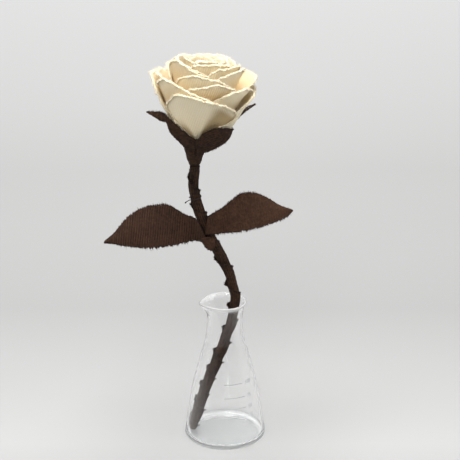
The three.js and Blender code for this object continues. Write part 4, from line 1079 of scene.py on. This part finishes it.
def build_stem():
    total = STEM_LEN[-1]
    # the strip itself, raw upper edge at w = 0
    tl = np.interp(0.6, _lf, _tf)
    th = np.interp(total - 0.7, _lf, _tf)
    turns = np.arange(tl + 0.10, th + 1 + STRIP_OVERLAP - 0.10, 1 / 44)
    nw = 22
    lo = np.maximum(0, turns - th)
    hi = np.minimum(1 + STRIP_OVERLAP, turns - tl)
    q = np.linspace(0, 1, nw + 1) ** 1.5
    W = lo[:, None] + (hi - lo)[:, None] * q[None, :]
    W = W - 0.006 * np.random.default_rng(12).normal(0, 1, len(turns))[:, None] * (1 - q)[None, :] ** 8 * (lo[:, None] == 0)
    Tn = np.broadcast_to(turns[:, None], W.shape)
    R, L, A, t = strip_radius(Tn, W)
    P = stem_point(t, A, R)
    V = P.reshape(-1, 3)
    F = grid_faces(nw, len(turns) - 1)
    n = vertex_normals(V, F)
    c, nn, d = stem_frame(t)
    out = V - np.stack([c[..., 0], 0 * c[..., 0], c[..., 1]], -1).reshape(-1, 3)
    if np.mean(np.sum(n * out, 1)) < 0:
        F = [tuple(reversed(f)) for f in F]
    uv = np.stack([(A * 3.9).ravel(), L.ravel()], 1)
    edge = (np.exp(-W / 0.05) * 0.7).ravel()
    Vt, Ft, Ut, At = thicken(V, F, STRIP_THICK, uv, {"edge": edge})
    ob = make_object("stem_strip_wound", Vt, Ft, Ut, At)
    finish_piece(ob, MAT_STEM, "stem_wrap")
    area = area_of(V, F)
    # the layers under it
    na, nl = 32, 260
    ang = np.linspace(0, 2 * math.pi, na, endpoint=False)
    tt = np.linspace(0, 1, nl)
    A2, T2 = np.meshgrid(ang, tt)
    L2 = np.interp(T2, TS, STEM_LEN)
    R2 = np.maximum(stem_base(L2, A2, T2) - STRIP_THICK / 2 - 0.16, 1.62)
    P2 = stem_point(T2, A2, R2)
    V2 = np.concatenate([P2.reshape(-1, 3), [stem_point(np.array(0.0), 0.0, np.array(0.0), -0.5), stem_point(np.array(1.0), 0.0, np.array(0.0), 0.15)]])
    F2 = []
    for j in range(nl - 1):
        for i in range(na):
            k = (i + 1) % na
            F2.append((j * na + i, j * na + k, (j + 1) * na + k, (j + 1) * na + i))
    for i in range(na):
        k = (i + 1) % na
        F2.append((len(V2) - 2, k, i))
        F2.append((len(V2) - 1, (nl - 1) * na + i, (nl - 1) * na + k))
    f = F2[na * 100]
    nrm = np.cross(V2[f[2]] - V2[f[0]], V2[f[3]] - V2[f[1]])
    cc = spline(STEM, tt[100])
    if np.dot(nrm, V2[f[0]] - np.array([cc[0], 0, cc[1]])) < 0:
        F2 = [tuple(reversed(x)) for x in F2]
    uv2 = np.concatenate([np.stack([(A2 * 3.9).ravel(), L2.ravel()], 1), [[0, 0], [0, 0]]])
    core = make_object("stem_layers_under_strip", V2, F2, uv2, {"edge": np.zeros(len(V2))})
    finish_piece(core, MAT_STEM, "stem_wrap")


build_stem()


def build_fray():
    """Loose threads and small tufts along the strip's raw edge."""
    r = np.random.default_rng(5)
    paths, radii = [], []
    total = STEM_LEN[-1]

    def thread(turn, length, d_al, lift, d_az, thick):
        rad, L, ang, t = [float(x) for x in strip_radius(np.array(turn), np.array(0.0))]
        if not 2 < L < total - 1.5:
            return
        pts = []
        for q in np.linspace(0, 1, 5):
            al = -0.3 + d_al * length * q
            rr = rad + 0.05 + lift * length * q ** 1.3
            pts.append(stem_point(np.array(t), ang + d_az * length * q / rad, np.array(rr), al))
        paths.append(np.array(pts).reshape(-1, 3))
        radii.append(thick)

    for _ in range(1500):
        turn = r.uniform(-0.9, 11.2)
        if waves(77, np.array(turn * 26.0), scale=16.0, octaves=2) < r.uniform(-0.7, 0.5):
            continue
        thread(turn, r.uniform(0.5, 1.7), r.uniform(0.2, 1.0), r.uniform(0.0, 0.6), r.normal(0, 0.4), r.uniform(0.09, 0.17))
    for turn0 in EDGE_TURN:                                       # tufts where the edge turns round the stem's sides
        for _ in range(2):
            if r.uniform() < 0.25:
                continue
            c = turn0 + r.normal(0, 0.035)
            size = r.uniform(0.6, 1.25)
            for _ in range(16):
                thread(c + r.normal(0, 0.018), size * r.uniform(0.5, 1.2), r.uniform(-0.5, 0.9), r.uniform(0.35, 1.0), r.normal(0, 0.5), r.uniform(0.11, 0.20))
    V, F = tubes(paths, radii, sides=4)
    ob = make_object("stem_strip_frayed_threads", V, F)
    finish_piece(ob, MAT_FRAY)
    return ob


build_fray()

# ------------------------------------------------------------------ hip
P0, P1 = np.array([-22.85, 0, 228.7]), np.array([-22.75, 0, 234.5])
P2, P3 = HEAD_BASE - 5.8 * AX, HEAD_BASE - 0.4 * AX


def hip_frame(t):
    t = np.asarray(t, float)[..., None]
    c = (1 - t) ** 3 * P0 + 3 * (1 - t) ** 2 * t * P1 + 3 * (1 - t) * t * t * P2 + t ** 3 * P3
    d = 3 * (1 - t) ** 2 * (P1 - P0) + 6 * (1 - t) * t * (P2 - P1) + 3 * t * t * (P3 - P2)
    d = d / np.linalg.norm(d, axis=-1)[..., None]
    X = np.array([1.0, 0, 0]) - d * d[..., :1]
    X = X / np.linalg.norm(X, axis=-1)[..., None]
    return c, X, np.cross(d, X)


def build_hip():
    prof = np.array([[4.3, 0], [4.85, 0.1], [5.4, 0.19], [6.2, 0.36], [7.0, 0.52], [7.6, 0.67], [8.3, 0.82], [8.9, 0.93], [9.1, 1.0]])
    na, nl = 72, 70
    t = np.linspace(0, 1, nl)
    r0 = np.interp(t, prof[:, 1], prof[:, 0])
    for _ in range(3):
        r0[1:-1] = (r0[:-2] + r0[1:-1] + r0[2:]) / 3
    A, T = np.meshgrid(np.linspace(0, 2 * math.pi, na, endpoint=False), t)
    R = r0[:, None] * np.ones_like(A)
    # low gathers running up to the sepals, and the strip's last turns
    R = R + 0.18 * np.cos(5 * A + 0.6) * sstep((T - 0.3) / 0.7) + 0.12 * waves(41, A * 5, T * 17, scale=6.0)
    ph = (T * 17 / 7.5 + A / (2 * math.pi)) % 1.0
    R = R + 0.40 * (1 - ph) ** 1.5 * sstep(ph / 0.05) * (1 - sstep((T - 0.75) / 0.25)) - 0.15
    c, X, Y = hip_frame(T)
    P = c + (R * np.cos(A))[..., None] * X + (R * np.sin(A))[..., None] * Y
    V = P.reshape(-1, 3)
    F = []
    for j in range(nl - 1):
        for i in range(na):
            k = (i + 1) % na
            F.append((j * na + i, j * na + k, (j + 1) * na + k, (j + 1) * na + i))
    cb, _, _ = hip_frame(np.array(0.0))
    ct, _, _ = hip_frame(np.array(1.0))
    V = np.concatenate([V, [cb, ct]])
    for i in range(na):
        k = (i + 1) % na
        F.append((len(V) - 2, k, i))
        F.append((len(V) - 1, (nl - 1) * na + i, (nl - 1) * na + k))
    uv = np.stack([(A * 6).ravel(), (T * 17).ravel()], 1)
    uv = np.concatenate([uv, [[0, 0], [0, 17]]])
    ob = make_object("hip_cloth", V, F, uv, {"rib": np.concatenate([(0.5 + 0.5 * np.cos(2 * math.pi * A * 6 / 0.95)).ravel(), [0, 0]]), "edge": np.zeros(len(V))})
    finish_piece(ob, MAT_SEPAL, "hip")


build_hip()


# ------------------------------------------------------------------ leaf and sepal sheets with raw edges
def raw_edge(seed, n, amp):
    """A cut, slightly frayed outline: small steps where single threads were cut."""
    r = np.random.default_rng(seed)
    x = r.normal(0, 1, n)
    st = np.repeat(r.normal(0, 1, n // 3 + 1), 3)[:n]
    return amp * (0.45 * x * 0.6 + 0.75 * st)


def fringe(name, edge_pts, outward, seed, count, mat_, longest=1.3, thick=(0.06, 0.11), normal=None):
    r = np.random.default_rng(seed)
    paths, radii = [], []
    n = len(edge_pts)
    for _ in range(count):
        x = r.uniform(1, n - 2)
        i = int(x)
        f = x - i
        p = edge_pts[i] * (1 - f) + edge_pts[i + 1] * f
        o = outward[i] * (1 - f) + outward[i + 1] * f
        tg = edge_pts[i + 1] - edge_pts[i]
        tg = tg / (np.linalg.norm(tg) + 1e-9)
        L = r.uniform(0.25, 1.0) ** 1.5 * longest
        bend = r.normal(0, 0.45)
        side = r.normal(0, 0.35)
        nn = np.cross(o, tg)
        pts = [p - o * 0.35 + (o * q * (L + 0.35) + tg * bend * L * q ** 2 + nn * side * L * q ** 1.5) for q in np.linspace(0, 1, 4)]
        paths.append(np.array(pts))
        radii.append(r.uniform(*thick))
    V, F = tubes(paths, radii, sides=3)
    ob = make_object(name, V, F)
    finish_piece(ob, mat_)
    return ob


def stem_x_at(z):
    return np.interp(z, STEM[:, 1], STEM[:, 0])


def leaf_sheet(up, lo, clear, back, tilt):
    D1 = 4.25 + clear
    D2 = D1 * 1.32
    dk = D2 * 0.88
    yk = -D1 * math.sqrt(1 - 0.88 ** 2)
    slope = D1 / D2 * 0.88 / math.sqrt(1 - 0.88 ** 2)

    def f(u, v):
        a, b = spline(lo, u), spline(up, u)
        x0 = a[..., 0] + (b[..., 0] - a[..., 0]) * v
        z0 = a[..., 1] + (b[..., 1] - a[..., 1]) * v
        d = np.abs(x0 - stem_x_at(z0)) * 0.92
        far = sstep((d - 4) / 22)
        y = np.where(d < dk, -D1 * np.sqrt(np.maximum(1 - (np.minimum(d, dk) / D2) ** 2, 0)), yk + 3.2 * (1 - np.exp(-np.maximum(d - dk, 0) * slope / 3.2)))
        y = y + far * (back * (d / 70) + tilt * (v - 0.5) * (b[..., 1] - a[..., 1]) - 0.9 * np.cos(math.pi * (v - 0.5)))
        return np.stack([x0 + (x0 - 4) * (y + 3) / 1417, y, z0 - 0.398 * (y + 3)], -1)
    return f


def build_leaf(name, sheet, mat_, seed, rib_mm, rib_amp, nu, nv, flip):
    u = np.linspace(0, 1, nu + 1)
    v = np.linspace(0, 1, nv + 1)
    U, Vv = np.meshgrid(u, v)
    # ragged outline: stretch the sheet by a random amount at each edge
    e_lo, e_up = raw_edge(seed, nu + 1, 0.017), raw_edge(seed + 1, nu + 1, 0.017)
    Vr = Vv + e_lo[None, :] * (1 - Vv) ** 7 + e_up[None, :] * Vv ** 7
    P = sheet(U, Vr)
    V = P.reshape(-1, 3).copy()
    F = grid_faces(nu, nv, flip=flip)
    n = vertex_normals(V, F)
    if np.mean(n[:, 1]) > 0:
        F = [tuple(reversed(q)) for q in F]
        n = -n
    x, z = V[:, 0].copy(), V[:, 2].copy()
    wav = 0.10 * np.sin(z * 0.35) + 0.12 * waves(seed + 6, x, z, scale=26.0, octaves=2)
    rib = np.cos(2 * math.pi * (x - 0.1 * z + wav) / rib_mm)
    strong = 0.75 + 0.5 * waves(seed + 8, x, z, scale=18.0, octaves=2)
    disp = rib_amp * rib * strong + 0.45 * waves(seed + 3, x, z, scale=34.0, octaves=2) + 0.06 * waves(seed + 4, x, z, scale=3.0, octaves=2)
    V = V + n * disp[:, None]
    uv = np.stack([x, z], 1)
    h = np.linalg.norm(P[-1] - P[0], axis=1)[None, :]
    edge = np.clip(1 - np.minimum(Vv, 1 - Vv) * h / 0.9, 0, 1).ravel() * 0.8
    Vt, Ft, Ut, At = thicken(V, F, LEAF_THICK * 0.85, uv, {"rib": np.clip(0.5 + 0.5 * rib * strong, 0, 1), "edge": edge})
    ob = make_object(name + "_cloth", Vt, Ft, Ut, At)
    finish_piece(ob, mat_, name)
    g = V.reshape(nv + 1, nu + 1, 3)
    top, bot = g[-1], g[0]
    up_dir = top - g[-4]
    dn_dir = bot - g[3]
    up_dir /= np.linalg.norm(up_dir, axis=1)[:, None]
    dn_dir /= np.linalg.norm(dn_dir, axis=1)[:, None]
    k0 = int(nu * 0.06)
    fringe(name + "_threads_upper", top[k0:], up_dir[k0:], seed + 11, 420, MAT_FRAY, longest=1.1, thick=(0.11, 0.20))
    fringe(name + "_threads_lower", bot[k0:], dn_dir[k0:], seed + 12, 460, MAT_FRAY, longest=1.2, thick=(0.11, 0.20))
    A = area_of(V, F)
    return ob


build_leaf("leaf_left", leaf_sheet(LEAF_LEFT_UP, LEAF_LEFT_LO, 2.35, 6, 0.34), MAT_LEAF, 200, 1.83, 0.13, 460, 46, True)
build_leaf("leaf_right", leaf_sheet(LEAF_RIGHT_UP, LEAF_RIGHT_LO, 1.1, 15, 0.34), MAT_LEAF_R, 230, 1.3, 0.05, 400, 44, False)


def build_root_tab():
    """The folded end of the left leaf, hanging below its root over the stem."""
    nu, nv = 40, 30
    top = np.array([(-18.6, -7.0, 170.2), (-15.6, -7.9, 171.6), (-12.4, -8.3, 172.2), (-9.6, -8.1, 171.4), (-7.0, -7.0, 169.2)])
    bot = np.array([(-17.0, -7.0, 167.0), (-14.8, -7.8, 163.6), (-11.9, -7.9, 161.2), (-9.2, -7.7, 161.6), (-7.0, -7.0, 164.8)])
    U, Vv = np.meshgrid(np.linspace(0, 1, nu + 1), np.linspace(0, 1, nv + 1))
    a, b = spline(bot, U), spline(top, U)
    P = a + (b - a) * Vv[..., None]
    P[..., 1] -= 0.6 * np.sin(math.pi * Vv) * np.sin(math.pi * U) + 0.32 * waves(261, U * 12, Vv * 8, scale=3.4, octaves=2)
    P[..., 2] += 0.55 * (1 - Vv) * waves(262, U * 12, scale=2.6, octaves=3)
    V = P.reshape(-1, 3)
    F = grid_faces(nu, nv)
    n = vertex_normals(V, F)
    if np.mean(n[:, 1]) > 0:
        F = [tuple(reversed(q)) for q in F]
    rib = 0.5 + 0.5 * np.cos(2 * math.pi * V[:, 0] / 1.0)
    edge = np.clip(1 - np.minimum(np.minimum(Vv * 6, 9.0), np.minimum(U, 1 - U) * 11) / 0.8, 0, 1).ravel() * 0.7
    Vt, Ft, Ut, At = thicken(V, F, 0.6, V[:, [0, 2]], {"rib": rib, "edge": edge})
    ob = make_object("leaf_left_root_tab", Vt, Ft, Ut, At)
    finish_piece(ob, MAT_LEAF_R, "leaf_left")
    g = P
    o = g[0] - g[3]
    o /= np.linalg.norm(o, axis=1)[:, None]
    fringe("leaf_left_root_tab_threads", g[0], o, 271, 60, MAT_FRAY, longest=0.9, thick=(0.11, 0.18))
    A = area_of(V, F)


build_root_tab()


def row_design(rows):
    f0 = np.array(rows, float)

    def design(s, v):
        q = spline(f0, v)
        az, z, r, w = q[..., 0], q[..., 1], q[..., 2], q[..., 3]
        return az + s * w / np.maximum(r, 6) / RAD, z, r
    return design, lambda v: spline(f0, v)[..., 3]


def edge_design(first, second):
    A, B = np.array(first, float), np.array(second, float)

    def design(s, v):
        a, b = spline(A, v), spline(B, v)
        d = a + (b - a) * ((s + 1) / 2)[..., None] - HEAD_BASE
        x, y = d @ HX, d @ HY
        return np.degrees(np.arctan2(x, -y)), d @ AX, np.hypot(x, y) + SEPAL_BOW * (1 - s * s)
    return design, lambda v: np.linalg.norm(spline(B, v) - spline(A, v), axis=-1) / 2


def build_sepal(name, design, half_width, seed):
    H = soften(filled)
    nu, nv = 30, 120
    s = np.linspace(-1, 1, nu + 1)
    v = np.linspace(0, 1, nv + 1)
    S, Vv = np.meshgrid(s, v)
    width = half_width(Vv)
    eL, eR = raw_edge(seed, nv + 1, 0.40), raw_edge(seed + 1, nv + 1, 0.40)
    Sr = S + (eL[:, None] * np.clip(-S, 0, 1) ** 5 - eR[:, None] * np.clip(S, 0, 1) ** 5) / np.maximum(width, 2.0)
    az, z, r, _ = drape_map(H, design, Sr, Vv, SEPAL_THICK, SEPAL_GAP)
    r0 = design(Sr, Vv)[2]
    r = r0 + smooth_grid(r - r0, 4)
    # the free end curls a little along its length and cups across
    r = r + 0.25 * waves(seed + 2, S * width, Vv * 45, scale=16.0, octaves=2) + 0.3 * (S ** 2) * sstep((Vv - 0.35) / 0.4)
    P = head_point(az, z, r)
    V = P.reshape(-1, 3)
    F = grid_faces(nu, nv)
    n = vertex_normals(V, F)
    radial = (V - HEAD_BASE) - ((V - HEAD_BASE) @ AX)[:, None] * AX
    if np.mean(np.sum(n * radial, 1)) < 0:
        F = [tuple(reversed(q)) for q in F]
        n = -n
    rib = np.cos(2 * math.pi * ((S * width).ravel() + 0.15 * waves(seed + 4, (Vv * 45).ravel(), scale=20.0)) / 1.0)
    V = V + n * (0.07 * rib)[:, None]
    uv = np.stack([(S * width).ravel(), (Vv * 45).ravel()], 1)
    edge = np.clip(1 - (1 - np.abs(S)) * width / 0.9, 0, 1).ravel() * 0.7
    Vt, Ft, Ut, At = thicken(V, F, SEPAL_THICK * 0.85, uv, {"rib": 0.5 + 0.5 * rib, "edge": edge})
    ob = make_object(name + "_cloth", Vt, Ft, Ut, At)
    finish_piece(ob, MAT_SEPAL, name)
    g = V.reshape(nv + 1, nu + 1, 3)
    for tag, line, ref, sd in (("first", g[:, 0], g[:, 3], 5), ("second", g[:, -1], g[:, -4], 6)):
        o = line - ref
        o /= np.linalg.norm(o, axis=1)[:, None] + 1e-9
        fringe(f"{name}_threads_{tag}", line[14:], o[14:], seed + sd, 230, MAT_FRAY, longest=1.25, thick=(0.10, 0.19))
    A = area_of(V, F)
    # what it fills, as in the CAD
    s2 = np.linspace(-1, 1, 201)[None, :] + np.zeros((201, 1))
    v2 = np.linspace(0, 1, 201)[:, None] + np.zeros((1, 201))
    a2, z2, r2, g2 = drape_map(H, design, s2, v2, SEPAL_THICK, SEPAL_GAP)
    ia = np.round(a2 / 360 * NA).astype(int) % NA
    jb = np.clip(np.round(z2 - Z_LO).astype(int), 0, NZ - 1)
    np.maximum.at(filled, (ia, jb), r2 + g2 - flare(z2))


for k, (name, first, second) in enumerate(FRONT_SEPALS):
    build_sepal(name, *edge_design(first, second), 300 + 20 * k)
for k, (name, rows) in enumerate(SEPALS):
    build_sepal(name, *row_design(rows), 360 + 20 * k)


# ------------------------------------------------------------------ binding thread
def build_thread():
    c = spline(STEM, TS)
    t0 = float(np.interp(201.2, c[:, 1], TS))
    pts = [(-30.2, -2.2, 197.6), (-28.6, -2.7, 199.4)]
    cc, n, d = stem_frame(np.array(t0))
    for i in range(19):
        a = (212 + i * 18.5) * RAD
        rr, dz = 4.55, i * 0.055
        pts.append((cc[0] + rr * math.cos(a) * n[0], rr * math.sin(a), cc[1] + dz + rr * math.cos(a) * n[1]))
    q = spline(np.array(pts), np.linspace(0, 1, 220))
    # two plies twisted round each other
    T = np.gradient(q, axis=0)
    T /= np.linalg.norm(T, axis=1)[:, None]
    A = np.cross(T, [0.2, 0.3, 0.9])
    A /= np.linalg.norm(A, axis=1)[:, None]
    Bn = np.cross(T, A)
    L = np.concatenate([[0], np.cumsum(np.linalg.norm(np.diff(q, axis=0), axis=1))])
    ps = []
    for k in range(2):
        a = L * 2 * math.pi / 1.3 + k * math.pi
        ps.append(q + 0.16 * (np.cos(a)[:, None] * A + np.sin(a)[:, None] * Bn))
    kn = np.linspace(0, 1, len(q))[:, None]
    ps.append(q[3] + 0.42 * np.concatenate([np.cos(kn * 11), np.sin(kn * 7 + 0.4), np.sin(kn * 13)], 1))
    V, F = tubes(ps, [0.23, 0.23, 0.26], sides=7, taper=False)
    ob = make_object("binding_thread", V, F)
    finish_piece(ob, MAT_THREAD, "tie_thread")


build_thread()
set_material(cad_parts["stem_wire"], wire_material())

# ------------------------------------------------------------------ floor, backdrop and light
def build_stage():
    ys = [-7.0, -3.0, -1.0, -0.4, 0.0, 0.4, 1.0, 2.0, 4.0, 7.0]
    V, F = [], []
    for y in ys:
        V += [(-7000, y * 1000, 0), (7000, y * 1000, 0)]
    for i in range(len(ys) - 1):
        F.append((2 * i, 2 * i + 1, 2 * i + 3, 2 * i + 2))
    ob = make_object("studio_floor", V, F)
    m, nt, b, out = nodes_of("studio_paper")
    tc = nt.nodes.new("ShaderNodeTexCoord")
    sep = nt.nodes.new("ShaderNodeSeparateXYZ")
    nt.links.new(tc.outputs["Object"], sep.inputs[0])
    f = noise(nt, tc.outputs["Object"], 3.0, 2.0)
    # painted light and shade: the paper mostly darker near the camera and lighter far back
    shade = ramp(nt, math_node(nt, "MULTIPLY_ADD", sep.outputs[1], 0.5, 0.1), [(pos, srgb(*c)) for pos, c in PAPER_PAINTED_LIGHT])
    shade = mix_color(nt, math_node(nt, "MULTIPLY", f, 0.06), shade, srgb(214, 216, 216))
    nt.links.new(shade, b.inputs["Base Color"])
    b.inputs["Roughness"].default_value = 0.85
    b.inputs["Specular IOR Level"].default_value = 0.1
    set_material(ob, m)


# painted light and shade on the paper, front to back, standing in for how the lamps fall across the set: (share of the
# way, colour)
PAPER_PAINTED_LIGHT = [(0.0, (145, 145, 145)), (0.09, (172, 172, 172)), (0.22, (158, 158, 158)), (0.40, (175, 175, 175)), (0.73, (225, 225, 225))]
build_stage()


def area_light(name, loc, target, size, power, color=(1, 1, 1), size_y=None):
    l = bpy.data.lights.new(name, "AREA")
    l.energy = power
    l.color = color
    l.shape = "RECTANGLE" if size_y else "SQUARE"
    l.size = size
    if size_y:
        l.size_y = size_y
    o = bpy.data.objects.new(name, l)
    o.location = loc
    o.rotation_euler = (Vector(target) - Vector(loc)).to_track_quat("-Z", "Y").to_euler()
    scene.collection.objects.link(o)
    return o


area_light("top_softbox", (-0.05, 0.02, 1.25), (0, 0, 0.15), 0.62, 15.0, (1.0, 0.995, 0.985))
area_light("left_softbox", (-1.3, -0.5, 0.9), (0, 0, 0.15), 0.8, 4.0, (1.0, 0.995, 0.99), 1.0)
area_light("right_softbox", (1.3, -0.4, 0.8), (0, 0, 0.15), 0.7, 4.6, (1.0, 1.0, 1.0), 1.0)
area_light("front_softbox", (-0.20, -1.25, 1.45), (0, 0, 0.22), 0.55, 10.0, (1.0, 0.99, 0.975))
# the tent round the set: bright on all sides, dark only where the room is open in front
world = bpy.data.worlds.new("studio")
scene.world = world
world.use_nodes = True
wt = world.node_tree
bg = wt.nodes.get("Background") or wt.nodes.new("ShaderNodeBackground")
wtc = wt.nodes.new("ShaderNodeTexCoord")
wsep = wt.nodes.new("ShaderNodeSeparateXYZ")
wt.links.new(wtc.outputs["Generated"], wsep.inputs[0])
front = math_node(wt, "MULTIPLY", wsep.outputs[1], -1.0)
sky = ramp(wt, math_node(wt, "ABSOLUTE", wsep.outputs[2]), [(0.0, 0.30), (0.14, 0.34), (0.36, 0.72), (1.0, 0.76)])
opening = ramp(wt, front, [(0.66, 1.0), (0.93, 0.18)])
wt.links.new(mix_color(wt, opening, (0.03, 0.03, 0.03, 1), sky), bg.inputs[0])
bg.inputs[1].default_value = 1.0
scene.view_settings.view_transform = "Standard"
scene.view_settings.look = "None"
